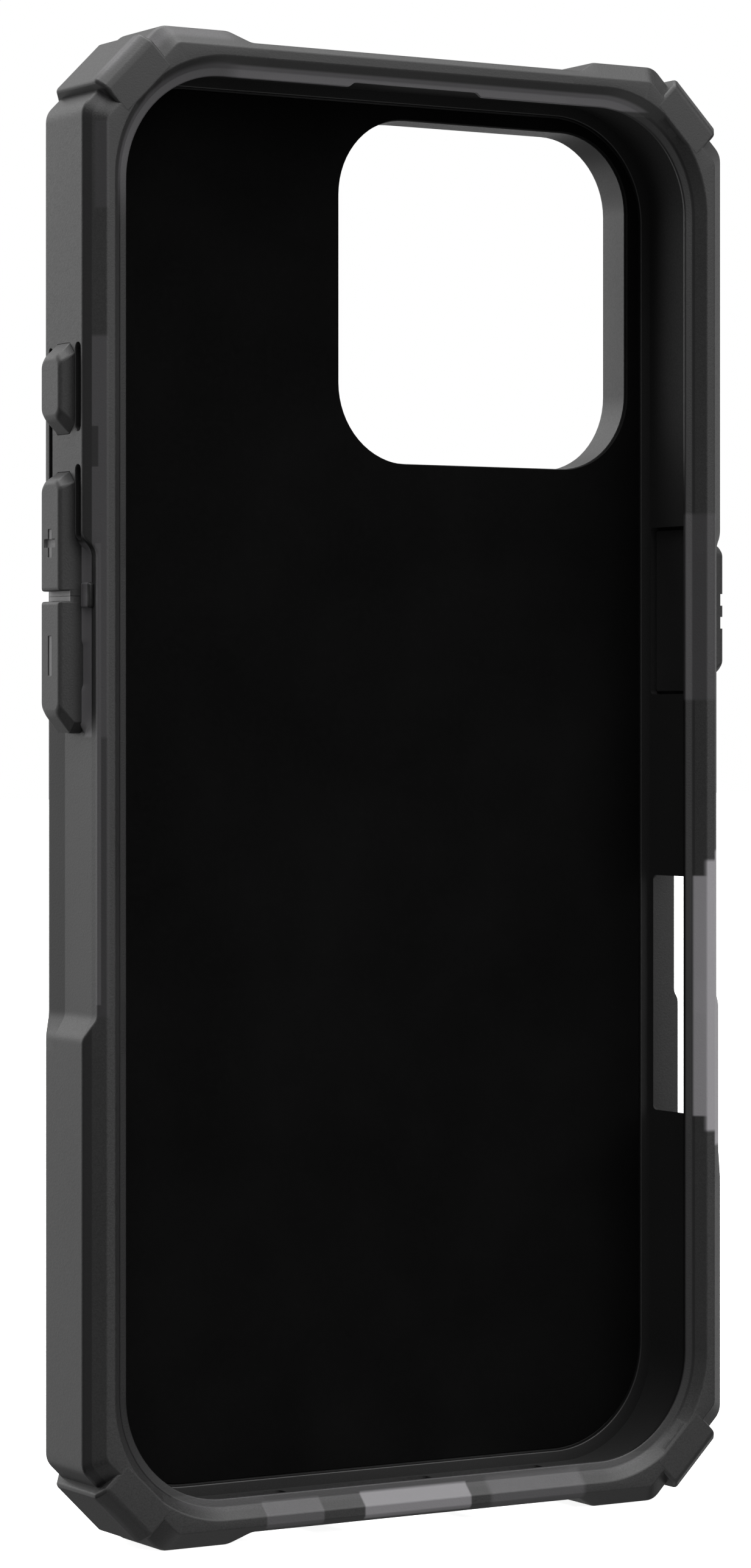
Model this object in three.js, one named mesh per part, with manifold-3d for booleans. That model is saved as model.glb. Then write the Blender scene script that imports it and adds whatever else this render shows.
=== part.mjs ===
// A rugged phone case: a soft bumper frame, a hard back shell with a camera guard, a thin liner,
// a ring of magnets between liner and shell, and four side buttons that slide inwards.
// Millimetres. +X is to the right and +Z is up when the open front is seen; +Y points to the back.
// The origin is the middle of the phone bed, the plane that the phone's back rests on.
import * as THREE from "three";
import { mergeVertices } from "three/addons/utils/BufferGeometryUtils.js";
import Module from "manifold-3d";

const wasm = await Module();
wasm.setup();

// The phone that the case is made for.
const PHONE_WIDTH = 71.5;
const PHONE_HEIGHT = 149.6;
const PHONE_DEPTH = 8.25;
const PHONE_CORNER = 11.5;
const PHONE_CLEARANCE = 0.15;

// Front lip: it overlaps the phone's glass, and a flat ring stands proud of it.
const LIP_OVERLAP = 1;
const LIP_RISE = 1.7;
const LIP_EDGE = 0.35;
const LIP_SLOPE_WIDTH = 0.85;
const LIP_SLOPE_RISE = 0.13;
const RING_INNER = 2;
const RING_OUTER = 3;
const OPENING_CORNER = 11.3;
const RELIEF_HALF_WIDTH = 7.6;
const RELIEF_DEPTH = 0.5;

// Outer form: an octagon seen from the front, chamfered to the front and the back.
const SIDE_WALL = 3.95;
const END_WALL = 3.85;
const FRONT_CHAMFER_DEPTH = 1.64;
const REAR_CHAMFER_Y = 0;
const REAR_CHAMFER_WIDTH = 2.2;
const BACK_Y = 2.2;
const CORNER_FRONT_SUM = 106.15;
const CORNER_OUTER_SUM = 109.4;
const CORNER_REAR_SUM = 106.6;
const OUTER_FILLET = 2;
const FRONT_FILLET = 1;

// A raised strap crosses each 45 degree corner face from front to back.
const STRAP_HALF_LENGTH = 3.8;
const STRAP_FRONT_SUM = 109.3;
const STRAP_OUTER_SUM = 110.9;
const STRAP_REAR_SUM = 107.4;
const STRAP_ROOT_SUM = 104.2;
const STRAP_CHAMFER_DEPTH = 1.1;

// Recessed stretches of the rails between the full-height ones.
const RECESS_DEPTH = 1.2;
const SHALLOW_DEPTH = 0.6;
const RECESS_REAR_Y = -2.1;
const RECESS_FLARE = 0.16;
const BLOCK_INNER_X = 20.4;
const BLOCK_FULL_X = 22.7;
const LEFT_RECESS = { low: -25.6, lowFloor: -23.5, highFloor: 24.4, high: 25.7 };
const RIGHT_RECESS = { low: -24.9, lowFloor: -23.5, highFloor: 26.2, high: 27.4 };
const RIGHT_SHALLOW = { low: -43.5, lowFloor: -40.3, highFloor: -23, high: -22 };

// Back stack: ledge, liner, magnets and shell.
const LEDGE_DEPTH = 0.55;
const LEDGE_OVERLAP = 1.2;
const LINER_DEPTH = 0.5;
const SHELL_FRONT_Y = 0.6;
const SHELL_MARGIN = 2.6;
const SHELL_CORNER_CUT = 8;
const FIT_GAP = 0.1;
const DISC_RADIUS = 30;
const DISC_RISE = 0.15;
const BORDER_WIDTH = 2.6;
const RIB_WIDTH = 3;
const RIB_RISE = 0.6;

// Camera guard and window, in the upper corner of the back.
const CAMERA_X = 14.2;
const CAMERA_Z = 53.4;
const WINDOW_HALF = 18.6;
const WINDOW_CORNER = 8.5;
const GUARD_WALL = 2.4;
const GUARD_SKIRT = 1.2;
const GUARD_CHAMFER = 0.6;
const GUARD_REAR_Y = 5.2;

// Magnets.
const MAGNET_COUNT = 18;
const MAGNET_INNER = 23.2;
const MAGNET_OUTER = 27.4;
const MAGNET_FRONT_Y = 0.65;
const MAGNET_DEPTH = 0.5;
const MAGNET_GAP = 0.5;
const BACKING_DEPTH = 0.2;
const POCKET_MARGIN = 0.4;
const BAR_WIDTH = 5;
const BAR_HEIGHT = 18;
const BAR_Z = -42;
const BAR_CORNER = 1;

// Buttons: each pad stands proud of the wall, and a flange inside the wall holds it in.
const BUTTON_Y = -PHONE_DEPTH / 2;
const PAD_BASE_HALF = 2.43;
const PAD_CROWN_HALF = 2.08;
const PAD_RISE = 1.6;
const POWER_RISE = 1.9;
const PAD_GAP = 0.3;
const PAD_FACET = 1.1;
const SQUARE_FACET = 0.02;
const FLANGE_DEPTH = 0.6;
const FLANGE_OUT = 1.1;
const FLANGE_HALF = 3.9;
const POCKET_DEPTH = 1.4;
const NOTCH_RISE = 0.43;
const NOTCH_FOOT = 0.37;
const VOLUME_SPLIT_Z = 19.72;
const VOLUME_NOTCH_HALF = 0.52;
const BUTTONS = {
  action_button: {
    side: -1,
    low: 36.4,
    high: 45.7,
    lowSlope: 1.6,
    highSlope: 1.4,
    rise: PAD_RISE,
  },
  volume_up_button: {
    side: -1,
    low: VOLUME_SPLIT_Z + VOLUME_NOTCH_HALF,
    high: 32.5,
    lowSlope: 0,
    highSlope: 1,
    rise: PAD_RISE,
  },
  volume_down_button: {
    side: -1,
    low: 5.7,
    high: VOLUME_SPLIT_Z - VOLUME_NOTCH_HALF,
    lowSlope: 2,
    highSlope: 0,
    rise: PAD_RISE,
  },
  power_button: {
    side: 1,
    low: 11.3,
    high: 27.1,
    lowSlope: 1.3,
    highSlope: 0.8,
    rise: POWER_RISE,
  },
};

// Slots through the left wall beside the pads, which let them give, and one shallow dip.
const WALL_SLOTS = [
  { frontY: -7.9, rearY: -6.73, low: 36.6, high: 45.65 },
  { frontY: -7.9, rearY: -6.73, low: 25.4, high: 33.15 },
  { frontY: -1.62, rearY: -0.87, low: 5, high: 45.4 },
];
const WALL_DIP = { frontY: -7.9, rearY: -6.73, low: 10.4, high: 14.9, depth: 0.4 };

// Openings through the walls.
const PORT_FRONT_Y = -7.9;
const PORT_REAR_Y = -0.7;
const BOTTOM_PORTS = [
  { low: -18.8, high: -12.2 },
  { low: -6.9, high: 5.96 },
  { low: 9.05, high: 20.2 },
];
const CONTROL = { innerLow: -36.5, innerHigh: -10.3, outerLow: -40.2, outerHigh: -7.1 };

// Worked-out positions.
const FRONT_Y = -PHONE_DEPTH - LIP_RISE;
const GLASS_Y = -PHONE_DEPTH;
const HALF_X = PHONE_WIDTH / 2;
const HALF_Z = PHONE_HEIGHT / 2;
const OPEN_X = HALF_X - LIP_OVERLAP;
const OPEN_Z = HALF_Z - LIP_OVERLAP;
const SIDE_X = HALF_X + SIDE_WALL;
const END_Z = HALF_Z + END_WALL;
const CAVITY_X = HALF_X + PHONE_CLEARANCE;
const CAVITY_Z = HALF_Z + PHONE_CLEARANCE;
const OUTER_FRONT_Y = FRONT_Y + FRONT_CHAMFER_DEPTH;
const SHELL_X = SIDE_X - SHELL_MARGIN;
const SHELL_Z = END_Z - SHELL_MARGIN;
const MAGNET_REAR_Y = MAGNET_FRONT_Y + MAGNET_DEPTH;
const BACKING_FRONT_Y = MAGNET_REAR_Y + FIT_GAP / 2;
const MAGNET_POCKET_Y = BACKING_FRONT_Y + BACKING_DEPTH + FIT_GAP / 2;
const POCKET_X = CAVITY_X + POCKET_DEPTH;
const FLANGE_X = POCKET_X - FIT_GAP;
const PAST = 1;
const FAR = 10;
const CORNER_STEPS = 8;
const FILLET_STEPS = 3;
const RING_SEGMENTS = 48;
const ARC_SEGMENTS = 4;

const bumperMaterial = new THREE.MeshStandardMaterial({ color: 0x4c4d50, roughness: 0.6 });
const buttonMaterial = new THREE.MeshStandardMaterial({ color: 0x55565a, roughness: 0.6 });
const shellMaterial = new THREE.MeshStandardMaterial({ color: 0x3a3b3e, roughness: 0.45 });
const guardMaterial = new THREE.MeshStandardMaterial({ color: 0x2c2d30, roughness: 0.4 });
const linerMaterial = new THREE.MeshStandardMaterial({ color: 0x0b0b0c, roughness: 0.95 });
const magnetMaterial = new THREE.MeshStandardMaterial({ color: 0x9a9b9e, roughness: 0.35, metalness: 1 });
const steelMaterial = new THREE.MeshStandardMaterial({ color: 0x6f7174, roughness: 0.4, metalness: 1 });

// An outline with each vertex { x, z, r } rounded to radius r, counter-clockwise seen from the front.
function rounded(vertices, steps = FILLET_STEPS) {
  const points = [];
  vertices.forEach(({ x, z, r = 0 }, i) => {
    const before = vertices[(i + vertices.length - 1) % vertices.length];
    const after = vertices[(i + 1) % vertices.length];
    if (r === 0) {
      points.push(new THREE.Vector2(x, z));
      return;
    }
    const arriving = Math.atan2(z - before.z, x - before.x);
    const leaving = Math.atan2(after.z - z, after.x - x);
    const turn = Math.atan2(Math.sin(leaving - arriving), Math.cos(leaving - arriving));
    const bend = Math.sign(turn);
    const tangent = r * Math.tan(Math.abs(turn) / 2);
    const normal = arriving - Math.PI / 2;
    const centreX = x - tangent * Math.cos(arriving) - bend * r * Math.cos(normal);
    const centreZ = z - tangent * Math.sin(arriving) - bend * r * Math.sin(normal);
    for (let s = 0; s <= steps; s += 1) {
      const angle = normal + (turn * s) / steps;
      const pointX = centreX + bend * r * Math.cos(angle);
      const pointZ = centreZ + bend * r * Math.sin(angle);
      points.push(new THREE.Vector2(pointX, pointZ));
    }
  });
  return points;
}

function rectangle(lowX, lowZ, highX, highZ, r = 0, steps = CORNER_STEPS) {
  const corners = [
    { x: lowX, z: lowZ, r },
    { x: highX, z: lowZ, r },
    { x: highX, z: highZ, r },
    { x: lowX, z: highZ, r },
  ];
  return rounded(corners, steps);
}

const centredRectangle = (halfX, halfZ, r, steps) => rectangle(-halfX, -halfZ, halfX, halfZ, r, steps);

// An octagon whose corner faces lie on |x| + |z| = sum.
function octagon(halfX, halfZ, sum, r) {
  const cutX = sum - halfZ;
  const cutZ = sum - halfX;
  const corners = [
    { x: -cutX, z: -halfZ, r },
    { x: cutX, z: -halfZ, r },
    { x: halfX, z: -cutZ, r },
    { x: halfX, z: cutZ, r },
    { x: cutX, z: halfZ, r },
    { x: -cutX, z: halfZ, r },
    { x: -halfX, z: cutZ, r },
    { x: -halfX, z: -cutZ, r },
  ];
  return rounded(corners);
}

// A manifold-3d solid from a geometry that is one closed surface.
function solid(geometry) {
  const bare = geometry.index ? geometry.toNonIndexed() : geometry.clone();
  bare.deleteAttribute("normal");
  bare.deleteAttribute("uv");
  const merged = mergeVertices(bare, 1e-5);
  const vertProperties = new Float32Array(merged.getAttribute("position").array);
  const triVerts = new Uint32Array(merged.index.array);
  return new wasm.Manifold(new wasm.Mesh({ numProp: 3, vertProperties, triVerts }));
}

// A closed geometry through outlines of equal length, each { y, outline }, in order of rising y.
function loftGeometry(sections) {
  const count = sections[0].outline.length;
  const positions = [];
  const indices = [];
  sections.forEach(({ y, outline }) => outline.forEach((p) => positions.push(p.x, y, p.y)));
  for (let s = 0; s + 1 < sections.length; s += 1) {
    for (let i = 0; i < count; i += 1) {
      const a = s * count + i;
      const b = s * count + ((i + 1) % count);
      indices.push(a, a + count, b + count, a, b + count, b);
    }
  }
  const last = (sections.length - 1) * count;
  const frontCap = THREE.ShapeUtils.triangulateShape(sections[0].outline, []);
  const rearCap = THREE.ShapeUtils.triangulateShape(sections.at(-1).outline, []);
  frontCap.forEach(([a, b, c]) => indices.push(a, b, c));
  rearCap.forEach(([a, b, c]) => indices.push(last + a, last + c, last + b));
  const geometry = new THREE.BufferGeometry();
  geometry.setAttribute("position", new THREE.Float32BufferAttribute(positions, 3));
  geometry.setIndex(indices);
  return geometry;
}

const loft = (...sections) => solid(loftGeometry(sections));

// A straight-sided plate of one outline between two depths.
function plate(outline, frontY, rearY) {
  const depth = rearY - frontY;
  const geometry = new THREE.ExtrudeGeometry(new THREE.Shape(outline), { depth, bevelEnabled: false });
  geometry.rotateX(Math.PI / 2);
  geometry.translate(0, rearY, 0);
  return solid(geometry);
}

function box(lowX, highX, lowY, highY, lowZ, highZ) {
  const geometry = new THREE.BoxGeometry(highX - lowX, highY - lowY, highZ - lowZ);
  geometry.translate((lowX + highX) / 2, (lowY + highY) / 2, (lowZ + highZ) / 2);
  return solid(geometry);
}

// A loft built facing the front, turned so that its front faces the side wall (-1 left, +1 right).
function sideLoft(side, ...sections) {
  const geometry = loftGeometry(sections);
  geometry.rotateZ((side * Math.PI) / 2);
  geometry.translate(0, BUTTON_Y, 0);
  return solid(geometry);
}

// A full ring of rectangular section about the middle of the magnet ring; inner radius 0 makes a disc.
function ring(innerRadius, outerRadius, frontY, rearY) {
  const profile = [
    new THREE.Vector2(innerRadius, frontY),
    new THREE.Vector2(outerRadius, frontY),
    new THREE.Vector2(outerRadius, rearY),
    new THREE.Vector2(innerRadius, rearY),
    new THREE.Vector2(innerRadius, frontY),
  ];
  return solid(new THREE.LatheGeometry(profile, RING_SEGMENTS));
}

// A straight strip between two points seen from the front, given as { x, z }.
function strip(from, to, width, frontY, rearY) {
  const along = new THREE.Vector2(to.x - from.x, to.z - from.z).normalize();
  const aside = new THREE.Vector2(along.y, -along.x).multiplyScalar(width / 2);
  const outline = [
    new THREE.Vector2(from.x + aside.x, from.z + aside.y),
    new THREE.Vector2(to.x + aside.x, to.z + aside.y),
    new THREE.Vector2(to.x - aside.x, to.z - aside.y),
    new THREE.Vector2(from.x - aside.x, from.z - aside.y),
  ];
  return plate(outline, frontY, rearY);
}

function mesh(name, shape, material) {
  const made = shape.getMesh();
  const geometry = new THREE.BufferGeometry();
  geometry.setAttribute("position", new THREE.Float32BufferAttribute(made.vertProperties, 3));
  geometry.setIndex(new THREE.BufferAttribute(made.triVerts, 1));
  geometry.computeVertexNormals();
  const result = new THREE.Mesh(geometry, material);
  result.name = name;
  return result;
}

// The bumper's outer body: chamfered octagon, straps and recesses, still without its hollow.
function bumperBody() {
  const frontX = OPEN_X + RING_OUTER;
  const frontZ = OPEN_Z + RING_OUTER;
  const rearX = SIDE_X - REAR_CHAMFER_WIDTH;
  const rearZ = END_Z - REAR_CHAMFER_WIDTH;
  let body = loft(
    { y: FRONT_Y, outline: octagon(frontX, frontZ, CORNER_FRONT_SUM, FRONT_FILLET) },
    { y: OUTER_FRONT_Y, outline: octagon(SIDE_X, END_Z, CORNER_OUTER_SUM, OUTER_FILLET) },
    { y: REAR_CHAMFER_Y, outline: octagon(SIDE_X, END_Z, CORNER_OUTER_SUM, OUTER_FILLET) },
    { y: BACK_Y, outline: octagon(rearX, rearZ, CORNER_REAR_SUM, FRONT_FILLET) },
  );
  recessCutters().forEach((cutter) => {
    body = body.subtract(cutter);
  });
  cornerStraps().forEach((strap) => {
    body = body.add(strap);
  });
  return body;
}

// The rectangle of a strap across one corner face, out to |x| + |z| = sum.
function strapOutline(signX, signZ, sum) {
  const middle = (SIDE_X - END_Z) / 2;
  const slant = STRAP_HALF_LENGTH / Math.SQRT2;
  const ends = [
    [STRAP_ROOT_SUM, slant],
    [sum, slant],
    [sum, -slant],
    [STRAP_ROOT_SUM, -slant],
  ];
  const points = ends.map(([reach, along]) => {
    const x = reach / 2 + middle + along;
    const z = reach / 2 - middle - along;
    return new THREE.Vector2(signX * x, signZ * z);
  });
  return THREE.ShapeUtils.isClockWise(points) ? points.reverse() : points;
}

function cornerStraps() {
  const straps = [];
  for (const signX of [-1, 1]) {
    for (const signZ of [-1, 1]) {
      const outline = (sum) => strapOutline(signX, signZ, sum);
      straps.push(
        loft(
          { y: FRONT_Y, outline: outline(STRAP_FRONT_SUM) },
          { y: FRONT_Y + STRAP_CHAMFER_DEPTH, outline: outline(STRAP_OUTER_SUM) },
          { y: REAR_CHAMFER_Y, outline: outline(STRAP_OUTER_SUM) },
          { y: BACK_Y, outline: outline(STRAP_REAR_SUM) },
        ),
      );
    }
  }
  return straps;
}

// A cutter for a recess along a side rail; its floor flares outwards behind RECESS_REAR_Y.
function sideRecess(side, { low, lowFloor, highFloor, high }, depth) {
  const outline = (flare) => {
    const floor = SIDE_X - depth + flare;
    const points = [
      { x: SIDE_X, z: low },
      { x: SIDE_X + FAR, z: low },
      { x: SIDE_X + FAR, z: high },
      { x: SIDE_X, z: high },
      { x: floor, z: highFloor },
      { x: floor, z: lowFloor },
    ].map(({ x, z }) => new THREE.Vector2(side * x, z));
    return side < 0 ? points.reverse() : points;
  };
  const rearFlare = RECESS_FLARE * (BACK_Y + PAST - RECESS_REAR_Y);
  return loft(
    { y: FRONT_Y - PAST, outline: outline(0) },
    { y: RECESS_REAR_Y, outline: outline(0) },
    { y: BACK_Y + PAST, outline: outline(rearFlare) },
  );
}

// The same for the rail at the top (side 1) or the bottom (side -1).
function endRecess(side) {
  const outline = (flare) => {
    const floor = END_Z - RECESS_DEPTH + flare;
    const points = [
      { x: -BLOCK_FULL_X, z: END_Z },
      { x: -BLOCK_INNER_X, z: floor },
      { x: BLOCK_INNER_X, z: floor },
      { x: BLOCK_FULL_X, z: END_Z },
      { x: BLOCK_FULL_X, z: END_Z + FAR },
      { x: -BLOCK_FULL_X, z: END_Z + FAR },
    ].map(({ x, z }) => new THREE.Vector2(x, side * z));
    return side < 0 ? points.reverse() : points;
  };
  const rearFlare = RECESS_FLARE * (BACK_Y + PAST - RECESS_REAR_Y);
  return loft(
    { y: FRONT_Y - PAST, outline: outline(0) },
    { y: RECESS_REAR_Y, outline: outline(0) },
    { y: BACK_Y + PAST, outline: outline(rearFlare) },
  );
}

function recessCutters() {
  return [
    sideRecess(-1, LEFT_RECESS, RECESS_DEPTH),
    sideRecess(1, RIGHT_RECESS, RECESS_DEPTH),
    sideRecess(1, RIGHT_SHALLOW, SHALLOW_DEPTH),
    endRecess(1),
    endRecess(-1),
  ];
}

// Everything the phone, its screen, the liner and the shell need: the bumper's hollow.
function hollow() {
  const lipOutline = (grow) => centredRectangle(OPEN_X + grow, OPEN_Z + grow, OPENING_CORNER + grow);
  const lipY = GLASS_Y - LIP_EDGE;
  const throat = loft(
    { y: FRONT_Y - PAST, outline: lipOutline(RING_INNER + PAST) },
    { y: FRONT_Y, outline: lipOutline(RING_INNER) },
    { y: lipY - LIP_SLOPE_RISE, outline: lipOutline(LIP_SLOPE_WIDTH) },
    { y: lipY, outline: lipOutline(0) },
    { y: GLASS_Y + PAST, outline: lipOutline(0) },
  );
  const cavityOutline = centredRectangle(CAVITY_X, CAVITY_Z, PHONE_CORNER + PHONE_CLEARANCE);
  const cavity = plate(cavityOutline, GLASS_Y, 0);
  const ledgeOutline = centredRectangle(CAVITY_X - LEDGE_OVERLAP, CAVITY_Z - LEDGE_OVERLAP, OPENING_CORNER);
  const ledge = plate(ledgeOutline, -PAST, BACK_Y);
  const rebate = plate(shellOutline(FIT_GAP), LEDGE_DEPTH, BACK_Y + PAST);
  return throat.add(cavity).add(ledge).add(rebate);
}

// The lip steps back by RELIEF_DEPTH over the phone's earpiece.
function earpieceRelief() {
  const wide = RELIEF_HALF_WIDTH + RELIEF_DEPTH;
  const outline = [
    new THREE.Vector2(-wide, OPEN_Z - PAST),
    new THREE.Vector2(wide, OPEN_Z - PAST),
    new THREE.Vector2(wide, OPEN_Z),
    new THREE.Vector2(RELIEF_HALF_WIDTH, OPEN_Z + RELIEF_DEPTH),
    new THREE.Vector2(-RELIEF_HALF_WIDTH, OPEN_Z + RELIEF_DEPTH),
    new THREE.Vector2(-wide, OPEN_Z),
  ];
  return plate(outline, FRONT_Y - PAST, GLASS_Y + PAST);
}

function bottomPorts() {
  return BOTTOM_PORTS.map(({ low, high }) =>
    box(low, high, PORT_FRONT_Y, PORT_REAR_Y, -END_Z - FAR, -CAVITY_Z + PAST),
  );
}

// The opening over the phone's camera control widens towards the outside.
function controlOpening() {
  const y = (PORT_FRONT_Y + PORT_REAR_Y) / 2 - BUTTON_Y;
  const half = (PORT_REAR_Y - PORT_FRONT_Y) / 2;
  const outline = (low, high) => rectangle(y - half, low, y + half, high);
  return sideLoft(
    1,
    { y: -SIDE_X - PAST, outline: outline(CONTROL.outerLow - PAST, CONTROL.outerHigh + PAST) },
    { y: -CAVITY_X + PAST, outline: outline(CONTROL.innerLow, CONTROL.innerHigh) },
  );
}

// An outline of a pad in its own plane, with faceted or square corners at each end.
function padOutline(half, low, high, lowFacet, highFacet) {
  const points = [
    [-half + lowFacet, low],
    [half - lowFacet, low],
    [half, low + lowFacet],
    [half, high - highFacet],
    [half - highFacet, high],
    [-half + highFacet, high],
    [-half, high - highFacet],
    [-half, low + lowFacet],
  ];
  return points.map(([x, z]) => new THREE.Vector2(x, z));
}

// A box between two distances from the middle of the case, on its left (-1) or right (+1) side.
function sideBox(side, near, far, frontY, rearY, low, high) {
  const [lowX, highX] = side < 0 ? [-far, -near] : [near, far];
  return box(lowX, highX, frontY, rearY, low, high);
}

// The hole in the wall for one pad or for the pair of volume pads, and the pocket for its flange.
function buttonOpening(side, low, high) {
  const near = CAVITY_X - PAST;
  const mouthHalf = PAD_BASE_HALF + PAD_GAP;
  const pocketHalf = FLANGE_HALF + FIT_GAP;
  const pocketLow = low - FLANGE_OUT - PAD_GAP;
  const pocketHigh = high + FLANGE_OUT + PAD_GAP;
  const mouthLow = low - PAD_GAP;
  const mouthHigh = high + PAD_GAP;
  const mouthY = [BUTTON_Y - mouthHalf, BUTTON_Y + mouthHalf];
  const pocketY = [BUTTON_Y - pocketHalf, BUTTON_Y + pocketHalf];
  const mouth = sideBox(side, near, SIDE_X + FAR, ...mouthY, mouthLow, mouthHigh);
  const pocket = sideBox(side, near, POCKET_X, ...pocketY, pocketLow, pocketHigh);
  return mouth.add(pocket);
}

function wallSlots() {
  const near = CAVITY_X - PAST;
  const far = SIDE_X + FAR;
  return WALL_SLOTS.map(({ frontY, rearY, low, high }) =>
    sideBox(-1, near, far, frontY, rearY, low, high),
  );
}

function wallDip() {
  const { frontY, rearY, low, high, depth } = WALL_DIP;
  const floor = SIDE_X - RECESS_DEPTH - depth;
  return sideBox(-1, floor, SIDE_X + FAR, frontY, rearY, low, high);
}

function coreFrame() {
  const { action_button: action, volume_up_button: up, volume_down_button: down } = BUTTONS;
  const power = BUTTONS.power_button;
  const cutters = [
    hollow(),
    earpieceRelief(),
    controlOpening(),
    ...bottomPorts(),
    ...wallSlots(),
    wallDip(),
    buttonOpening(-1, action.low, action.high),
    buttonOpening(-1, down.low, up.high),
    buttonOpening(1, power.low, power.high),
  ];
  let frame = bumperBody();
  cutters.forEach((cutter) => {
    frame = frame.subtract(cutter);
  });
  return frame;
}

// Under the notch between the volume pads, a foot carries each pad on to the other one.
function padFoot(side, low, high) {
  const half = (PAD_BASE_HALF + PAD_CROWN_HALF) / 2;
  const root = FLANGE_X - FLANGE_DEPTH / 2;
  const top = SIDE_X + NOTCH_RISE;
  return sideBox(side, root, top, BUTTON_Y - half, BUTTON_Y + half, low, high);
}

// One button: the pad's sloping crown, its straight base through the wall, and the flange.
// A volume pad's inner end has no slope; it is square, and stands on a foot.
function button({ side, low, high, lowSlope, highSlope, rise }) {
  const footLow = lowSlope > 0 ? low : low - NOTCH_FOOT;
  const footHigh = highSlope > 0 ? high : high + NOTCH_FOOT;
  const flangeLow = lowSlope > 0 ? low - FLANGE_OUT : footLow;
  const flangeHigh = highSlope > 0 ? high + FLANGE_OUT : footHigh;
  const lowFacet = lowSlope > 0 ? PAD_FACET : SQUARE_FACET;
  const highFacet = highSlope > 0 ? PAD_FACET : SQUARE_FACET;
  const crownLow = low + lowSlope;
  const crownHigh = high - highSlope;
  const base = padOutline(PAD_BASE_HALF, low, high, lowFacet, highFacet);
  const crown = padOutline(PAD_CROWN_HALF, crownLow, crownHigh, lowFacet, highFacet);
  const flange = rectangle(-FLANGE_HALF, flangeLow, FLANGE_HALF, flangeHigh);
  const pad = sideLoft(
    side,
    { y: -SIDE_X - rise, outline: crown },
    { y: -SIDE_X, outline: base },
    { y: -FLANGE_X + FLANGE_DEPTH / 2, outline: base },
  );
  const retainer = sideLoft(
    side,
    { y: -FLANGE_X, outline: flange },
    { y: -FLANGE_X + FLANGE_DEPTH, outline: flange },
  );
  let body = pad.add(retainer);
  if (footLow < low) body = body.add(padFoot(side, footLow, low + PAST));
  if (footHigh > high) body = body.add(padFoot(side, high - PAST, footHigh));
  return body;
}

function shellOutline(grow) {
  const sum = SHELL_X + SHELL_Z - SHELL_CORNER_CUT + grow;
  return octagon(SHELL_X + grow, SHELL_Z + grow, sum, FRONT_FILLET);
}

function cameraOutline(grow) {
  const half = WINDOW_HALF + grow;
  const r = WINDOW_CORNER + grow;
  return rectangle(CAMERA_X - half, CAMERA_Z - half, CAMERA_X + half, CAMERA_Z + half, r);
}

function barOutline(grow) {
  const halfX = BAR_WIDTH / 2 + grow;
  const halfZ = BAR_HEIGHT / 2 + grow;
  return rectangle(-halfX, BAR_Z - halfZ, halfX, BAR_Z + halfZ, BAR_CORNER, FILLET_STEPS);
}

// A raised border round the shell and ribs from the magnet disc to three of its corners.
function shellRelief() {
  const border = loft(
    { y: SHELL_FRONT_Y, outline: shellOutline(0) },
    { y: BACK_Y, outline: shellOutline(0) },
    { y: BACK_Y + RIB_RISE, outline: shellOutline(-RIB_RISE) },
  ).subtract(plate(shellOutline(-BORDER_WIDTH), -PAST, BACK_Y + PAST));
  const cornerX = SHELL_X - 2 * BORDER_WIDTH;
  const cornerZ = SHELL_Z - 2 * BORDER_WIDTH;
  const reach = (DISC_RADIUS + RIB_WIDTH) / Math.hypot(cornerX, cornerZ);
  const ribs = [
    [-1, 1],
    [-1, -1],
    [1, -1],
  ].map(([signX, signZ]) => {
    const corner = { x: signX * cornerX, z: signZ * cornerZ };
    const start = { x: corner.x * reach, z: corner.z * reach };
    return strip(start, corner, RIB_WIDTH, SHELL_FRONT_Y, BACK_Y + RIB_RISE);
  });
  return ribs.reduce((relief, rib) => relief.add(rib), border);
}

// The hard back plate, pocketed for the magnets and raised in a disc over them.
function backShell() {
  const panel = plate(shellOutline(0), SHELL_FRONT_Y, BACK_Y);
  const disc = ring(0, DISC_RADIUS, SHELL_FRONT_Y, BACK_Y + DISC_RISE);
  const pocketInner = MAGNET_INNER - POCKET_MARGIN;
  const pocketOuter = MAGNET_OUTER + POCKET_MARGIN;
  const magnetPocket = ring(pocketInner, pocketOuter, -PAST, MAGNET_POCKET_Y);
  const barPocket = plate(barOutline(FIT_GAP), -PAST, MAGNET_POCKET_Y);
  const guardHole = plate(cameraOutline(GUARD_SKIRT + FIT_GAP), -PAST, BACK_Y + PAST);
  const guardSeat = plate(cameraOutline(GUARD_WALL + FIT_GAP), BACK_Y, BACK_Y + PAST);
  return panel
    .add(disc)
    .add(shellRelief())
    .subtract(magnetPocket)
    .subtract(barPocket)
    .subtract(guardHole)
    .subtract(guardSeat);
}

function cameraGuard() {
  const collar = loft(
    { y: BACK_Y + FIT_GAP, outline: cameraOutline(GUARD_WALL) },
    { y: GUARD_REAR_Y - GUARD_CHAMFER, outline: cameraOutline(GUARD_WALL) },
    { y: GUARD_REAR_Y, outline: cameraOutline(GUARD_WALL - GUARD_CHAMFER) },
  );
  const skirt = plate(cameraOutline(GUARD_SKIRT), SHELL_FRONT_Y, BACK_Y + PAST);
  const window = loft(
    { y: -PAST, outline: cameraOutline(0) },
    { y: GUARD_REAR_Y - GUARD_CHAMFER, outline: cameraOutline(0) },
    { y: GUARD_REAR_Y + PAST, outline: cameraOutline(GUARD_CHAMFER + PAST) },
  );
  return collar.add(skirt).subtract(window);
}

function innerLiner() {
  const inset = LEDGE_OVERLAP + FIT_GAP + PHONE_CLEARANCE;
  const outline = centredRectangle(CAVITY_X - inset, CAVITY_Z - inset, OPENING_CORNER - FIT_GAP);
  return plate(outline, 0, LINER_DEPTH).subtract(plate(cameraOutline(FIT_GAP), -PAST, PAST));
}

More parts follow.
